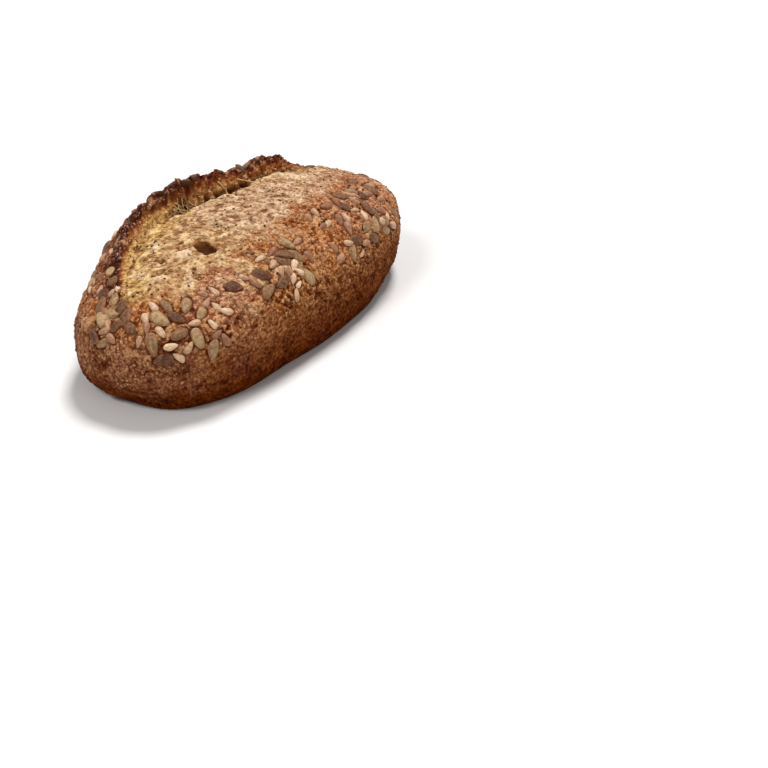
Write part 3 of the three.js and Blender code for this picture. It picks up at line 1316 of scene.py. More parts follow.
    def pits(self, open_crumb: np.ndarray) -> np.ndarray:
        """Holes along the slash, one pocket in it, the blister, and pores of the bloom.

        Args:
            open_crumb: The share of the bloom.

        Returns:
            The share at each vertex.
        """
        skin = self.skin
        holes = self.hole_contrast * ripple(skin.points, self.hole_size)
        holes = smooth_step(holes + self.hole_level)
        shut = 1.0 - self.hole_shut * self.near * (1.0 - self.hole_open(skin.x))
        along_slash = self.slash * self.hole_line(skin.behind) * holes * shut
        pocket = self.pocket_share * self.pocket_along(skin.x) * self.pocket_across(skin.behind)
        pocket = self.slash * np.minimum(1.0, pocket)
        burst = smooth_step(self.blister_share * self.blister.share)
        pores = self.pore_share * open_crumb * self.pores()
        return np.max([along_slash, pocket, burst, pores], axis=0)

    def pores(self) -> np.ndarray:
        """Open pores, large in some patches and small at the patches' edges.

        Returns:
            The share at each vertex.
        """
        points = self.skin.points
        few = self.pore_patches(points)
        small = self.small_pore_share * self.small_pores(points) * (1.0 - few) * few
        return np.maximum(self.large_pores(points) * few, small)

    def seats(self) -> np.ndarray:
        """Hollows under the kernels and a narrow gap round each, none in the slash; the finish
        paints shadow over them.

        Returns:
            The share of the hollows' depth at each vertex.
        """
        points, behind = self.skin.points, self.skin.behind
        tree = KDTree(len(points))
        for index, point in enumerate(points):
            tree.insert(point, index)
        tree.balance()
        share = np.zeros(len(points))
        for seed in self.seeds:
            kernel = seed.kind.value
            inverse = seed.placing().inverted()
            for point, index, _ in tree.find_range(seed.point, self.seat_reach * kernel.length):
                local = inverse @ point
                out = math.hypot(2.0 * local.x / kernel.length, 2.0 * local.y / kernel.width)
                rim = self.seat_rim + self.seat_rag * noise.noise(point / self.seat_rag_size)
                share[index] = max(share[index], (rim - out / seed.size) / self.seat_run)
        torn = self.slash * self.seatless_front(behind) * self.seatless_back(behind)
        return np.clip(share, 0.0, 1.0) * (1.0 - torn)


@dataclass
class CrustRelief:
    """Fine relief of the crust, zone by zone."""

    form: LoafForm
    skin: SkinPlaces
    blister: Blister
    crest_height: float = 2.4 * MM
    pit_depth: float = 2.2 * MM
    seat_depth: float = 0.5 * MM
    fill_height: float = 3.4 * MM
    fill_far: Band = Band(-14 * MM, -30 * MM)
    fill_near: Band = Band(-130 * MM, 20 * MM)
    fill_across: Hump = Hump(1.0 * MM, 8 * MM)
    foot: Band = Band(0.0, 5 * MM)
    crag_patches: Patches = Patches(24 * MM, 0.6, 1.2)
    crag_least: float = 0.4
    crag_more: float = 0.7
    crag_up: Band = Band(24 * MM, 30 * MM)
    crag_low: float = 0.55
    crag_high: float = 0.45
    bend: Swells = Swells(6 * MM, 2.2 * MM, 9.0)
    flakes: Ridges = Ridges((7.5 * MM, 7.5 * MM, 7.5 * MM), 3.6 * MM, 0.2)
    flake_floor: float = -0.576 * MM
    crumbs: Ridges = Ridges((3.6 * MM, 3.6 * MM, 3.6 * MM), 2.4 * MM, shift=1.0)
    beads: Beads = Beads(3.8 * MM, 0.9 * MM)
    swells: Swells = Swells(13 * MM, 0.9 * MM)
    flow_slant: float = 0.5
    lines: Ridges = Ridges((3.6 * MM, 9 * MM, 9 * MM), 1.6 * MM, shift=1.0)
    bloom_swells: Swells = Swells(12 * MM, 1.2 * MM)
    bloom_crumbs: Swells = Swells(2.8 * MM, 0.4 * MM)
    bloom_edge: Hump = Hump(-2 * MM, 7 * MM)
    edge_swells: Swells = Swells(6 * MM, 2.2 * MM, 2.0)
    crease_size: Triple = (6 * MM, 22 * MM, 22 * MM)
    crease_shift: float = 7.0
    crease_gate: Patches = Patches(22 * MM, 0.45, 1.6, 3.0)
    crease_breaks: Patches = Patches(5 * MM, 0.5, 2.0, 4.0)
    crease_rim: Hump = Hump(0.2, 0.24)
    crease_rim_height: float = 1.3 * MM
    crease_line: Hump = Hump(0.0, 0.16)
    crease_depth: float = 1.8 * MM
    strand_size: Triple = (2.6 * MM, 4 * MM, 6 * MM)
    strand_height: float = 0.5 * MM
    wall_lumps: Swells = Swells(5 * MM, 1.8 * MM)
    wall_pores: Pores = Pores(3.8 * MM, 0.36, 0.16)
    wall_pore_depth: float = 1.6 * MM
    lip_crags: Swells = Swells(6 * MM, 1.8 * MM)
    lip_crumbs: Ridges = Ridges((3 * MM, 3 * MM, 3 * MM), 2.2 * MM, shift=1.0)
    lip_beads: Beads = Beads(2.4 * MM, 0.9 * MM)

    def heights(self, masks: dict[Zone, np.ndarray]) -> np.ndarray:
        """Height of the relief, which also sets the zone of the crests.

        Args:
            masks: The crust's zones.

        Returns:
            How far each vertex moves along its normal.
        """
        skin, burst = self.skin, self.blister.share
        bloom, wall, lip = (masks[zone] for zone in (Zone.BLOOM, Zone.WALL, Zone.LIP))
        plain = np.clip(1.0 - bloom - wall - lip, 0.0, 1.0)
        height = plain * self.crags() + bloom * self.stretch_lines()
        height += wall * self.torn() + lip * self.ragged()
        height *= 1.0 - np.minimum(1.0, 2.0 * burst)
        # Relief height as a share, from which the finish paints shade in hollows and highlights on
        # crests
        masks[Zone.CREST] = np.clip(0.5 + height / self.crest_height, 0.0, 1.0)
        height -= self.pit_depth * masks[Zone.PIT] * (burst == 0.0)
        fill = self.fill_far(skin.x) * self.fill_near(skin.x) * skin.crown
        height += self.fill_height * fill * self.fill_across(skin.behind)
        height -= self.blister.depths()
        height = height * (1.0 - masks[Zone.SEAT]) - self.seat_depth * masks[Zone.SEAT]
        return height * self.foot(skin.z)

    def crags(self) -> np.ndarray:
        """Relief of the grainy brown skin: flaky ridges, crumbs, beads and swells.

        Returns:
            The height at each vertex.
        """
        points = self.skin.points
        bend = self.bend(points)
        bent = points + np.stack([bend, -bend, bend], axis=1)
        rough = np.maximum(self.flake_floor, self.flakes(bent))
        rough += self.crumbs(bent) + self.beads(points)
        rough *= self.crag_least + self.crag_more * self.crag_patches(points)
        rough *= self.crag_low + self.crag_high * self.crag_up(self.skin.z)
        return rough + self.swells(points)

    def stretch_lines(self) -> np.ndarray:
        """Relief of the bloom: lines drawn out across the slash, swells and crumbs.

        Returns:
            The height at each vertex.
        """
        skin, points = self.skin, self.skin.points
        slope = self.form.slash_slope(skin.x) + self.flow_slant
        length = np.sqrt(1.0 + slope * slope)
        u, v = (skin.x + slope * skin.y) / length, (skin.y - slope * skin.x) / length
        flow = np.stack([u, v, skin.z], axis=1)
        height = self.creases(flow) + self.lines(flow)
        height += self.bloom_swells(points) + self.bloom_crumbs(points)
        return height + self.bloom_edge(skin.behind) * self.edge_swells(points)

    def creases(self, flow: np.ndarray) -> np.ndarray:
        """Thin winding cuts with one raised edge, which come and go.

        Args:
            flow: Places in a frame drawn along the cuts.

        Returns:
            The height at each vertex.
        """
        n = ripple(flow + self.crease_shift, self.crease_size)
        shown = self.crease_gate(self.skin.points) * self.crease_breaks(self.skin.points)
        rim = self.crease_rim_height * self.crease_rim(n)
        return shown * (rim - self.crease_depth * self.crease_line(n))

    def torn(self) -> np.ndarray:
        """Relief of the flap's wall: torn lumps, upright strands and open pores.

        Returns:
            The height at each vertex.
        """
        points = self.skin.points
        strands = self.strand_height * ripple(points, self.strand_size)
        return strands + self.wall_lumps(points) - self.wall_pore_depth * self.wall_pores(points)

    def ragged(self) -> np.ndarray:
        """Relief of the flap's lip: crags, crumbs and grit."""
        points = self.skin.points
        return self.lip_crags(points) + self.lip_crumbs(points) + self.lip_beads(points)


def in_place(mesh: bpy.types.Mesh, material: bpy.types.Material) -> bpy.types.Object:
    """Makes a piece of a mesh, smooth shaded, in place of the loaf's solid.

    Args:
        mesh: The piece's mesh.
        material: The piece's finish.

    Returns:
        The piece, at the origin, riding on the loaf.
    """
    mesh.polygons.foreach_set("use_smooth", [True] * len(mesh.polygons))
    mesh.materials.append(material)
    piece = bpy.data.objects.new(mesh.name, mesh)
    bpy.context.scene.collection.objects.link(piece)
    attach(piece, "root")
    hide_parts("loaf")
    return piece


def mesh_of(bm: bmesh.types.BMesh, name: str) -> bpy.types.Mesh:
    """Makes a mesh of a bmesh, which is freed.

    Args:
        bm: The bmesh.
        name: The mesh's name.

    Returns:
        The mesh.
    """
    mesh = bpy.data.meshes.new(name)
    bm.to_mesh(mesh)
    bm.free()
    return mesh


def strewn(name: str, placings: list[Matrix]) -> bpy.types.Mesh:
    """Makes a mesh of many small balls.

    Args:
        name: The mesh's name.
        placings: The transform of each ball from a ball of radius 1.

    Returns:
        The mesh; the vertices of a ball follow those of the ball before it.
    """
    bm = bmesh.new()
    bmesh.ops.create_icosphere(bm, subdivisions=1, radius=1.0)
    ball = np.array([(*v.co, 1.0) for v in bm.verts])
    faces = np.array([[v.index for v in f.verts] for f in bm.faces])
    bm.free()
    points = np.concatenate([(ball @ np.array(p).T)[:, :3] for p in placings])
    starts = np.arange(len(placings)) * len(ball)
    corners = (faces[None] + starts[:, None, None]).reshape(-1, 3)
    mesh = bpy.data.meshes.new(name)
    mesh.from_pydata(points.tolist(), [], corners.tolist())
    return mesh


@dataclass
class Crust:
    """The loaf's crust: one closed skin with its relief and zones."""

    form: LoafForm
    seeds: list[Seed]
    name: str = "crust"
    slot: str = "crust"
    finish: CrustFinish = CrustFinish()
    cuts: tuple[int, int, int] = (220, 132, 98)
    wall_edge: float = 1.3 * MM
    wall_up: float = 20 * MM
    wall_before: float = 2 * MM
    wall_past: float = 5 * MM
    foot_inset: float = 8 * MM
    cut_dist: float = 1e-6
    skin: SkinPlaces = field(init=False)
    masks: dict[Zone, np.ndarray] = field(init=False)
    material: bpy.types.Material = field(init=False)
    places: np.ndarray = field(init=False)
    normals: np.ndarray = field(init=False)

    def build(self) -> bpy.types.Object:
        """Builds the crust, dresses it and keeps its surface for what lies on it.

        Returns:
            The crust.
        """
        bm = self.plain_skin()
        points = np.array([v.co[:] for v in bm.verts])
        normals = np.array([v.normal[:] for v in bm.verts])
        self.skin = SkinPlaces(self.form, points)
        blister = Blister(self.skin)
        self.masks = CrustZones(self.form, self.skin, self.seeds, blister).masks()
        heights = CrustRelief(self.form, self.skin, blister).heights(self.masks)
        for vert, point in zip(bm.verts, points + normals * heights[:, None]):
            vert.co = point
        bm.normal_update()
        for zone, values in self.masks.items():
            layer = bm.verts.layers.float.new(zone.value)
            for vert, value in zip(bm.verts, values):
                vert[layer] = value
        self.material = self.finish.material()
        piece = in_place(mesh_of(bm, self.name), self.material)
        self.keep_surface(piece.data)
        return piece

    def plain_skin(self) -> bmesh.types.BMesh:
        """Closed skin of the plain form: a cube cut into a grid and drawn out to the crust.

        Returns:
            The skin, flat at the foot.
        """
        bm = bmesh.new()
        bmesh.ops.create_cube(bm, size=2.0)
        for axis, cuts in enumerate(self.cuts):
            edges = [e for e in bm.edges if self.runs_along(e, axis)]
            bmesh.ops.subdivide_edges(bm, edges=edges, cuts=cuts - 1, use_grid_fill=True)
        cube = np.array([v.co[:] for v in bm.verts])
        square = cube * cube
        other, last = np.roll(square, -1, axis=1), np.roll(square, -2, axis=1)
        n = cube * np.sqrt(1.0 - other / 2.0 - last / 2.0 + other * last / 3.0)
        for vert, point in zip(bm.verts, self.form.crust_points(n)):
            vert.co = point
        long = [e for e in bm.edges if self.on_wall(e) and e.calc_length() > self.wall_edge]
        bmesh.ops.subdivide_edges(bm, edges=long, cuts=1, use_grid_fill=True)
        geometry = [*bm.verts, *bm.edges, *bm.faces]
        bmesh.ops.bisect_plane(bm, geom=geometry, dist=self.cut_dist, plane_co=(0, 0, 0),
                               plane_no=UP, clear_inner=True)
        rim = [e for e in bm.edges if e.is_boundary]
        foot = bmesh.ops.holes_fill(bm, edges=rim)["faces"]
        bmesh.ops.inset_region(bm, faces=foot, thickness=self.foot_inset)
        bmesh.ops.recalc_face_normals(bm, faces=bm.faces[:])
        bm.normal_update()
        return bm

    @staticmethod
    def runs_along(edge: bmesh.types.BMEdge, axis: int) -> bool:
        """Whether an edge runs along an axis."""
        run = edge.verts[0].co - edge.verts[1].co
        return abs(run[axis]) > 0.5 * run.length

    def on_wall(self, edge: bmesh.types.BMEdge) -> bool:
        """Whether an edge lies on the flap's wall or lip.

        Args:
            edge: An edge of the skin.

        Returns:
            True on the wall or the lip.
        """
        x, y, z = (edge.verts[0].co + edge.verts[1].co) / 2.0
        behind = self.form.behind_slash(x, y)
        on_crown = z > self.form.waist_height + self.wall_up
        return bool(on_crown and -self.wall_before < behind < self.form.wall_run + self.wall_past)

    def keep_surface(self, mesh: bpy.types.Mesh) -> None:
        """Keeps the places and the normals of the finished crust's vertices.

        Args:
            mesh: The crust's mesh.
        """
        places = np.zeros(3 * len(mesh.vertices), np.float32)
        mesh.vertices.foreach_get("co", places)
        normals = np.zeros(3 * len(mesh.vertices), np.float32)
        mesh.vertex_normals.foreach_get("vector", normals)
        self.places, self.normals = places.reshape(-1, 3), normals.reshape(-1, 3)

    def laid_grain(self, index: int, scale: Triple, turn: float) -> Matrix:
        """Transform that lays a ball of radius 1, drawn to a scale, on a vertex."""
        placing = laid(self.places[index], self.normals[index], turn)
        return placing @ Matrix.Diagonal((*scale, 1.0))


@dataclass
class CrustGrains:
    """Crumbs and small blisters that stand on the crust, in the crust's own finish."""

    crust: Crust
    name: str = "crust_grains"
    slot: str = "crust"
    count: int = 8500
    smallest: float = 0.4 * MM
    largest: float = 1.15 * MM
    longest: float = 1.7
    flatness: float = 0.65
    foot_gap: float = 3 * MM
    bloom_spared: float = 0.93
    pit_spared: float = 0.9
    least: float = 0.35
    clumps: Patches = Patches(9 * MM, 0.5, 1.0)
    draw_from: int = 23

    def build(self) -> bpy.types.Object:
        """Builds the grains on the crust and dresses them.

        Returns:
            The piece with every grain.
        """
        rng = random.Random(self.draw_from)
        weights = self.weights().tolist()
        chosen = rng.choices(range(len(weights)), weights, k=self.count)
        placings = []
        for index in chosen:
            size = self.smallest + (self.largest - self.smallest) * rng.random() ** 2
            scale = (size * rng.uniform(1.0, self.longest), size, self.flatness * size)
            placings.append(self.crust.laid_grain(index, scale, rng.uniform(0.0, math.tau)))
        mesh = strewn(self.name, placings)
        each = len(mesh.vertices) // self.count
        shown = {zone: values[chosen] for zone, values in self.crust.masks.items()}
        shown[Zone.GRAIN] = np.array([rng.random() for _ in chosen])
        for zone, values in shown.items():
            layer = mesh.attributes.new(zone.value, "FLOAT", "POINT")
            layer.data.foreach_set("value", np.repeat(values, each).astype(np.float32))
        return in_place(mesh, self.crust.material)

    def weights(self) -> np.ndarray:
        """How likely each vertex of the crust is to carry a grain.

        Returns:
            A weight for each vertex.
        """
        masks, places = self.crust.masks, self.crust.places
        bare = 1.0 - self.bloom_spared * masks[Zone.BLOOM] - self.pit_spared * masks[Zone.PIT]
        bare = np.clip(bare * (masks[Zone.SEAT] == 0.0), 0.0, 1.0)
        return bare * (self.least + self.clumps(places)) * (places[:, 2] > self.foot_gap)


@dataclass(frozen=True)
class StrandCluster:
    """A place along the slash where strands are left."""

    middle: float
    reach: float
    count: int


@dataclass(frozen=True)
class Strand:
    """A torn thread of crumb across the slash."""

    along: float
    lean: float
    low: float
    high: float
    radius: float
    bow: float


@dataclass
class TornStrands:
    """Threads of crumb that still join the bloom to the flap's wall."""

    crust: Crust
    name: str = "torn_strands"
    slot: str = "crust"
    clusters: tuple[StrandCluster, ...] = (
        StrandCluster(-57 * MM, 5 * MM, 3),
        StrandCluster(-20 * MM, 4 * MM, 10),
        StrandCluster(-9 * MM, 5 * MM, 7),
        StrandCluster(22 * MM, 4 * MM, 2),
        StrandCluster(47 * MM, 3 * MM, 2),
    )
    lean: Pair = (-9 * MM, 7 * MM)
    low: Pair = (-3.5 * MM, -1 * MM)
    high: Pair = (2.5 * MM, 5 * MM)
    radius: Pair = (0.18 * MM, 0.5 * MM)
    bow: Pair = (-1.6 * MM, 1.6 * MM)
    tone: Pair = (0.1, 0.5)
    sides: int = 6
    rings: int = 9
    least_ring: float = 0.05
    waist: float = 0.7
    flare: float = 0.9
    crest: float = 0.55
    draw_from: int = 31

    def build(self) -> bpy.types.Object:
        """Builds the strands and dresses them.

        Returns:
            The piece with every strand.
        """
        rng = random.Random(self.draw_from)
        bm = bmesh.new()
        layers = {zone: bm.verts.layers.float.new(zone.value) for zone in Zone}
        for cluster in self.clusters:
            for _ in range(cluster.count):
                strand = Strand(
                    along=cluster.middle + cluster.reach * rng.uniform(-1.0, 1.0),
                    lean=rng.uniform(*self.lean),
                    low=rng.uniform(*self.low),
                    high=rng.uniform(*self.high),
                    radius=rng.uniform(*self.radius),
                    bow=rng.uniform(*self.bow),
                )
                self.add(bm, strand, layers, rng.uniform(*self.tone))
        return in_place(mesh_of(bm, self.name), self.crust.material)

    def place(self, along: float, behind: float) -> Vector:
        """Vertex of the crust nearest to a place along the loaf and behind the slash.

        Args:
            along: The place along the loaf.
            behind: The distance behind the slash.

        Returns:
            The vertex's place.
        """
        skin = self.crust.skin
        miss = np.abs(skin.x - along) + np.abs(skin.behind - behind)
        return Vector(self.crust.places[np.argmin(miss + (1.0 - skin.crown))])

    def add(self, bm: bmesh.types.BMesh, strand: Strand, layers: dict[Zone, Layer],
            tone: float) -> None:
        """Adds one strand.

        Args:
            bm: The piece's mesh.
            strand: The strand's place and size.
            layers: The values that the vertices carry.
            tone: How pale the strand is.
        """
        start = self.place(strand.along, strand.low)
        run = self.place(strand.along + strand.lean, strand.high) - start
        side = run.cross(UP).normalized()
        out = side.cross(run).normalized()
        tube = bmesh.ops.create_uvsphere(
            bm, u_segments=self.sides, v_segments=self.rings, radius=1.0
        )["verts"]
        for vert in tube:
            share = 0.5 + 0.5 * vert.co.z
            girth = strand.radius * (self.waist + self.flare * vert.co.z**2)
            girth /= max(math.hypot(vert.co.x, vert.co.y), self.least_ring)
            bow = strand.bow * 4.0 * share * (1.0 - share)
            round_it = side * vert.co.x * girth + out * vert.co.y * girth
            vert.co = start + run * share + side * bow + out * abs(bow) / 2.0 + round_it
            vert[layers[Zone.BLOOM]] = 1.0
            vert[layers[Zone.GOLD]] = 1.0
            # Middle crest share: neither painted hollow shade nor painted crest highlight on the
            # strands
            vert[layers[Zone.CREST]] = self.crest
            vert[layers[Zone.GRAIN]] = tone


class KernelValue(Enum):
    """Values that the vertices of a kernel carry."""

    TONE = "tone"
    EDGE = "edge"
    ACROSS = "across"
    CHAR = "char"


@dataclass(frozen=True)
class KernelFinish:
    """Toasted kernels: each of its own tone, mottled, dusted with crust and some charred."""

    name: str
    faces: Stops
    dust: Colour
    charred: Colour
    contrast: float
    dust_size: float
    dust_rise: Rise
    dust_edge: Rise
    roughness: float
    bump_height: float
    fine_size: float = 2.0 * MM
    specular: float = 0.22

    def material(self) -> bpy.types.Material:
        """Builds the finish.

        Returns:
            The material.
        """
        tree = FinishTree(self.name)
        fine = tree.mottle(self.fine_size)
        face = tree.ramp(tree.varied(tree.of(KernelValue.TONE), fine, self.contrast), self.faces)
        face = self.marked(tree, face)
        dust = tree.rise(tree.mottle(self.dust_size, 4), self.dust_rise)
        dust = tree.times(dust, tree.rise(tree.of(KernelValue.EDGE), self.dust_edge))
        face = tree.blend(dust, face, self.dust)
        tree.feed("Base Color", tree.blend(tree.of(KernelValue.CHAR), face, self.charred))
        tree.feed("Roughness", self.roughness)
        tree.feed("Specular IOR Level", self.specular)
        tree.bump(fine, self.bump_height)
        return tree.material

    def marked(self, tree: FinishTree, face: Socket) -> Socket:
        """Colour of a kernel's face with the marks of its kind: a plain kernel has none."""
        return face


@dataclass(frozen=True)
class PumpkinFinish(KernelFinish):
    """Toasted pumpkin kernels: olive to purple brown, some paler at the rim."""

    name: str = "toasted_pumpkin_kernel"
    faces: Stops = (
        (0.0, (84, 48, 32)),
        (0.3, (114, 76, 48)),
        (0.6, (140, 104, 68)),
        (1.0, (182, 150, 108)),
    )
    dust: Colour = (150, 94, 56)
    charred: Colour = (70, 38, 22)
    contrast: float = 1.6
    dust_size: float = 3.5 * MM
    dust_rise: Rise = Rise(0.44, 0.6, 0.75)
    dust_edge: Rise = Rise(0.05, 0.6)
    roughness: float = 0.42
    bump_height: float = 1.2 * MM
    # Painted shade of a groove inside the rim, which the mesh does not model
    groove: Colour = (84, 54, 36)
    groove_in: Rise = Rise(0.3, 0.5)
    groove_out: Rise = Rise(0.72, 0.52)
    groove_shade_share: float = 0.22
    rim: Colour = (186, 154, 114)
    rim_rise: Rise = Rise(0.62, 0.86, 0.4)
    rim_tone: Rise = Rise(0.3, 0.7)

    def marked(self, tree: FinishTree, face: Socket) -> Socket:
        """Colour of a kernel's face with painted shade in its groove and its paler rim.

        Args:
            tree: The finish's nodes.
            face: The plain face's colour.

        Returns:
            The colour.
        """
        out = tree.of(KernelValue.EDGE)
        # Painted shade in a thin groove line
        groove = tree.times(tree.rise(out, self.groove_in), tree.rise(out, self.groove_out))
        face = tree.blend(tree.times(groove, self.groove_shade_share), face, self.groove)
        pale = tree.rise(tree.of(KernelValue.TONE), self.rim_tone)
        return tree.blend(tree.times(tree.rise(out, self.rim_rise), pale), face, self.rim)


@dataclass(frozen=True)
class SunflowerFinish(KernelFinish):
    """Sunflower kernels: cream to pinkish tan with faint lines along them."""

    name: str = "toasted_sunflower_kernel"
    faces: Stops = (
        (0.0, (138, 92, 66)),
        (0.35, (170, 124, 94)),
        (0.7, (202, 164, 130)),
        (1.0, (226, 194, 158)),
    )
    dust: Colour = (164, 108, 70)
    charred: Colour = (66, 40, 26)
    contrast: float = 1.3
    dust_size: float = 3.0 * MM
    dust_rise: Rise = Rise(0.44, 0.6, 0.7)
    dust_edge: Rise = Rise(0.1, 0.7)
    roughness: float = 0.52
    bump_height: float = 0.8 * MM
    line: Colour = (124, 84, 58)
    line_rise: Rise = Rise(0.5, 1.0, 0.35)
    line_density: float = 9.0

    def marked(self, tree: FinishTree, face: Socket) -> Socket:
        """Colour of a kernel's face with faint lines along it."""
        wave = tree.reckon("SINE", tree.times(tree.of(KernelValue.ACROSS), self.line_density))
        return tree.blend(tree.rise(wave, self.line_rise), face, self.line)


@dataclass
class Kernels:
    """All the kernels of one kind: those of the solid and the looser ones among them."""

    form: LoafForm
    seeds: list[Seed]
    kind: SeedKind
    name: str
    slot: str
    finish: KernelFinish
    sides: int = 20
    rings: int = 12
    plump: float = 1.45
    unevenness: float = 0.22
    uneven_scale: float = 0.9
    uneven_shift: float = 999.0
    shrink: float = 0.9
    proud: float = 0.6 * MM
    buried: float = 1.6 * MM
    char_share: float = 0.85
    char_over: Band = Band(19.2 * MM, -12 * MM)
    char_from: float = -100 * MM
    draw_from: int = 5

    def build(self) -> bpy.types.Object:
        """Builds the kernels and dresses them.

        Returns:
            The piece with every kernel of the kind.
        """
        rng = random.Random(self.draw_from)
        bm = bmesh.new()
        layers = {value: bm.verts.layers.float.new(value.value) for value in KernelValue}
        for seed in self.seeds:
            if seed.kind is self.kind:
                self.add(bm, seed, layers, rng.random(), self.proud - self.buried * rng.random())
        return in_place(mesh_of(bm, self.name), self.finish.material())

    def charring(self, seed: Seed) -> float:
        """How far a kernel is charred, which is most on the flap's lip.

        Args:
            seed: The kernel's place.

        Returns:
            A share of 0 to 1.
        """
        x, y, z = seed.point
        behind = self.form.behind_slash(x, y)
        if z < self.form.waist_height or behind < 0.0 or x < self.char_from:
            return 0.0
        return self.char_share * float(self.char_over(behind))

    def add(self, bm: bmesh.types.BMesh, seed: Seed, layers: dict[KernelValue, Layer],
            tone: float, proud: float) -> None:
        """Adds one kernel.

        Args:
            bm: The piece's mesh.
            seed: The kernel's place.
            layers: The values that the vertices carry.
            tone: How pale the kernel is.
            proud: How far it stands out past its place.
        """
        form, placing, char = self.kind.value, seed.placing(), self.charring(seed)
        shift = placing.translation * self.uneven_shift
        out = Vector((0.0, 0.0, proud))
        ball = bmesh.ops.create_uvsphere(
            bm, u_segments=self.sides, v_segments=self.rings, radius=1.0,
            matrix=Matrix.Rotation(math.pi / 2, 4, "Y"),
        )["verts"]
        for vert in ball:
            along, across, up = vert.co
            vert[layers[KernelValue.TONE]] = tone
            vert[layers[KernelValue.EDGE]] = 1.0 - abs(up)
            vert[layers[KernelValue.ACROSS]] = across
            vert[layers[KernelValue.CHAR]] = char
            uneven = 1.0 + self.unevenness * noise.noise(vert.co * self.uneven_scale + shift)
            girth = (1.0 - form.point * along) * uneven
            local = Vector((along * form.length * uneven, across * girth * form.width,
                            up * girth * form.thickness * self.plump))
            vert.co = placing @ (local * self.shrink * seed.size / 2.0 + out)


@dataclass(frozen=True)
class SmallSeedFinish:
    """Small dark seeds: near black with a little brown."""

    name: str = "small_dark_seed"
    faces: Stops = ((0.3, (24, 15, 10)), (0.7, (60, 38, 24)))
    fine_size: float = 2.0 * MM
    roughness: float = 0.7
    specular: float = 0.1

    def material(self) -> bpy.types.Material:
        """Builds the finish.

        Returns:
            The material.
        """
        tree = FinishTree(self.name)
        tree.feed("Base Color", tree.ramp(tree.mottle(self.fine_size, 3), self.faces))
        tree.feed("Roughness", self.roughness)
        tree.feed("Specular IOR Level", self.specular)
        return tree.material


@dataclass
class SmallSeeds:
    """Small round dark seeds, strewn in drifts over the bloom and thinly over the skin."""

    crust: Crust
    name: str = "small_dark_seeds"
    slot: str = "small_seed"
    finish: SmallSeedFinish = SmallSeedFinish()
    count: int = 280
    radius: float = 0.6 * MM
    smallest: float = 0.7
    largest: float = 1.5
    longest: float = 1.6
    flatness: float = 0.8
    spacing: float = 3.0 * MM
    skin_share: float = 0.35
    skin_up: Band = Band(20 * MM, 50 * MM)
    drifts: Patches = Patches(22 * MM, 0.5, 1.4)
    least: float = 0.15
    tries: int = 4
    draw_from: int = 11

    def build(self) -> bpy.types.Object:
        """Builds the seeds on the crust and dresses them.

        Returns:
            The piece with every small seed.
        """
        rng = random.Random(self.draw_from)
        placings = []
        for index in self.chosen(rng):
            size = self.radius * rng.uniform(self.smallest, self.largest)
            scale = (size * rng.uniform(1.0, self.longest), size, self.flatness * size)
            placings.append(self.crust.laid_grain(index, scale, rng.uniform(0.0, math.tau)))
        return in_place(strewn(self.name, placings), self.finish.material())

    def chosen(self, rng: random.Random) -> list[int]:
        """Chooses vertices of the crust that carry a seed.

        Args:
            rng: The draws.

        Returns:
            The vertices' numbers.
        """
        masks, places = self.crust.masks, self.crust.places
        skin = self.skin_share * self.skin_up(places[:, 2])
        bare = (1.0 - masks[Zone.WALL]) * (1.0 - masks[Zone.PIT])
        weights = (masks[Zone.BLOOM] + skin) * (self.least + self.drifts(places)) * bare
        tries = rng.choices(range(len(weights)), weights.tolist(), k=self.tries * self.count)
        chosen: list[int] = []
        for index in tries:
            gaps = np.linalg.norm(places[chosen] - places[index], axis=1)
            if len(chosen) < self.count and (gaps > self.spacing).all():
                chosen.append(index)
        return chosen


@dataclass(frozen=True)
class Lamp:
    """Soft light that comes evenly from one way."""

    name: str
    toward: Triple
    spread: float
    strength: float

    def build(self) -> None:
        """Adds the light; its spread is in degrees, its strength in watts a square metre."""
        light = bpy.data.lights.new(self.name, "SUN")
        light.angle = math.radians(self.spread)
        light.energy = self.strength
        lamp = bpy.data.objects.new(self.name, light)
        lamp.location = self.toward
        lamp.rotation_mode = "QUATERNION"
        lamp.rotation_quaternion = (-Vector(self.toward)).to_track_quat("-Z", "Y")
        bpy.context.scene.collection.objects.link(lamp)


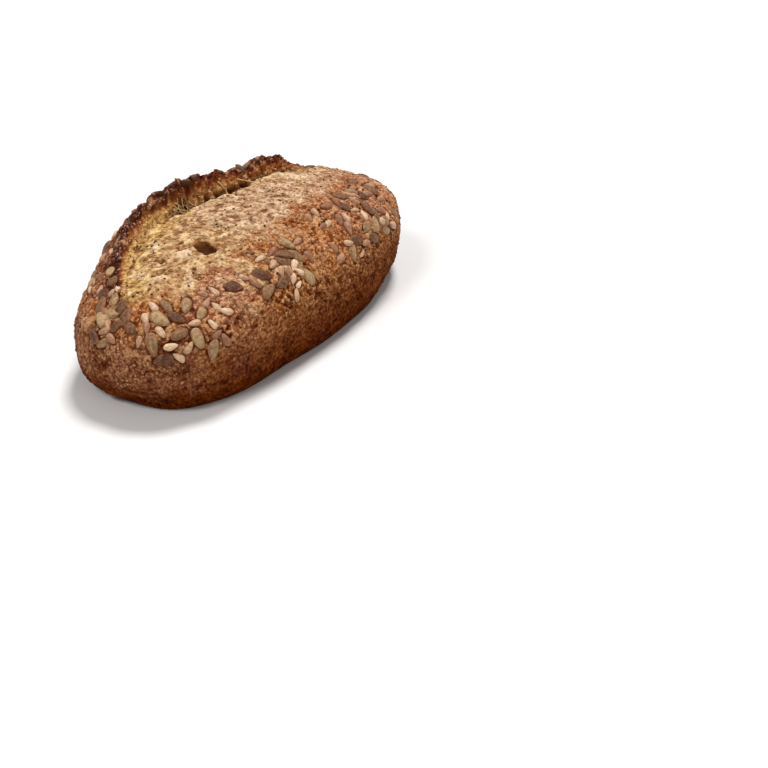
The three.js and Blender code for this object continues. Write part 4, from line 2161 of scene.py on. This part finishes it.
@dataclass(frozen=True)
class Studio:
    """Pale floor, soft light and the camera that sees the loaf from its blunt near end."""

    eye: Triple = (-777.8 * MM, -622.1 * MM, 530.2 * MM)
    azimuth: float = -56.81
    elevation: float = 30.56
    roll: float = -0.349
    focal_pixels: float = 1603.0
    image_pixels: float = 768.0
    sensor: float = 36.0
    floor_colour: Colour = (222, 220, 218)
    floor_roughness: float = 0.9
    floor_reach: float = 40.0
    floor_gap: float = 0.2 * MM
    sky: Colour = (250, 250, 252)
    sky_strength: float = 0.3
    lamps: tuple[Lamp, ...] = (
        Lamp("key", (0.6, 0.1, 1.4), 16.0, 3.0),
        Lamp("fill", (-1.05, 0.2, 1.35), 20.0, 1.28),
        Lamp("side", (-0.4, -1.5, 0.9), 31.0, 0.36),
    )

    def build(self) -> None:
        """Builds the floor, the lights and the camera."""
        self.floor()
        self.world()
        for lamp in self.lamps:
            lamp.build()
        self.camera()
        bpy.context.scene.view_settings.view_transform = "Standard"

    def floor(self) -> None:
        """Lays a pale floor under the loaf."""
        bm = bmesh.new()
        bmesh.ops.create_grid(bm, x_segments=1, y_segments=1, size=self.floor_reach)
        bmesh.ops.translate(bm, verts=bm.verts[:], vec=(0.0, 0.0, -self.floor_gap))
        floor = bpy.data.objects.new("floor", mesh_of(bm, "floor"))
        bpy.context.scene.collection.objects.link(floor)
        tree = FinishTree("pale_floor")
        tree.feed("Base Color", self.floor_colour)
        tree.feed("Roughness", self.floor_roughness)
        floor.data.materials.append(tree.material)

    def world(self) -> None:
        """Sets an even pale light from all round."""
        world = bpy.data.worlds.new("pale_sky")
        world.use_nodes = True
        background = world.node_tree.nodes["Background"]
        background.inputs["Color"].default_value = (*linear(self.sky), 1.0)
        background.inputs["Strength"].default_value = self.sky_strength
        bpy.context.scene.world = world

    def camera(self) -> None:
        """Sets the camera at the loaf's viewing angle."""
        data = bpy.data.cameras.new("view")
        data.sensor_width = self.sensor
        data.lens = self.sensor * self.focal_pixels / self.image_pixels
        camera = bpy.data.objects.new("view", data)
        turn, rise = math.radians(self.azimuth), math.radians(self.elevation)
        forward = Vector((-math.sin(turn) * math.cos(rise), math.cos(turn) * math.cos(rise),
                          -math.sin(rise)))
        level = forward.to_track_quat("-Z", "Y")
        camera.rotation_mode = "QUATERNION"
        camera.rotation_quaternion = level @ Quaternion(UP, math.radians(self.roll))
        camera.location = self.eye
        bpy.context.scene.collection.objects.link(camera)
        bpy.context.scene.camera = camera


def main() -> None:
    """Builds every piece in order and reports it."""
    logging.basicConfig(level=logging.INFO, format="%(name)s: %(message)s")
    form = LoafForm()
    seeds = SeedScatter(form).lay()
    crust = Crust(form, seeds)
    pieces = [
        crust.build(),
        CrustGrains(crust).build(),
        TornStrands(crust).build(),
        Kernels(form, seeds, SeedKind.PUMPKIN, "pumpkin_kernels", "pumpkin_seed",
                PumpkinFinish()).build(),
        Kernels(form, seeds, SeedKind.SUNFLOWER, "sunflower_kernels", "sunflower_seed",
                SunflowerFinish()).build(),
        SmallSeeds(crust).build(),
    ]
    Studio().build()
    for piece in pieces:
        LOG.info("%s: %d faces", piece.name, len(piece.data.polygons))


if __name__ == "__main__":
    main()
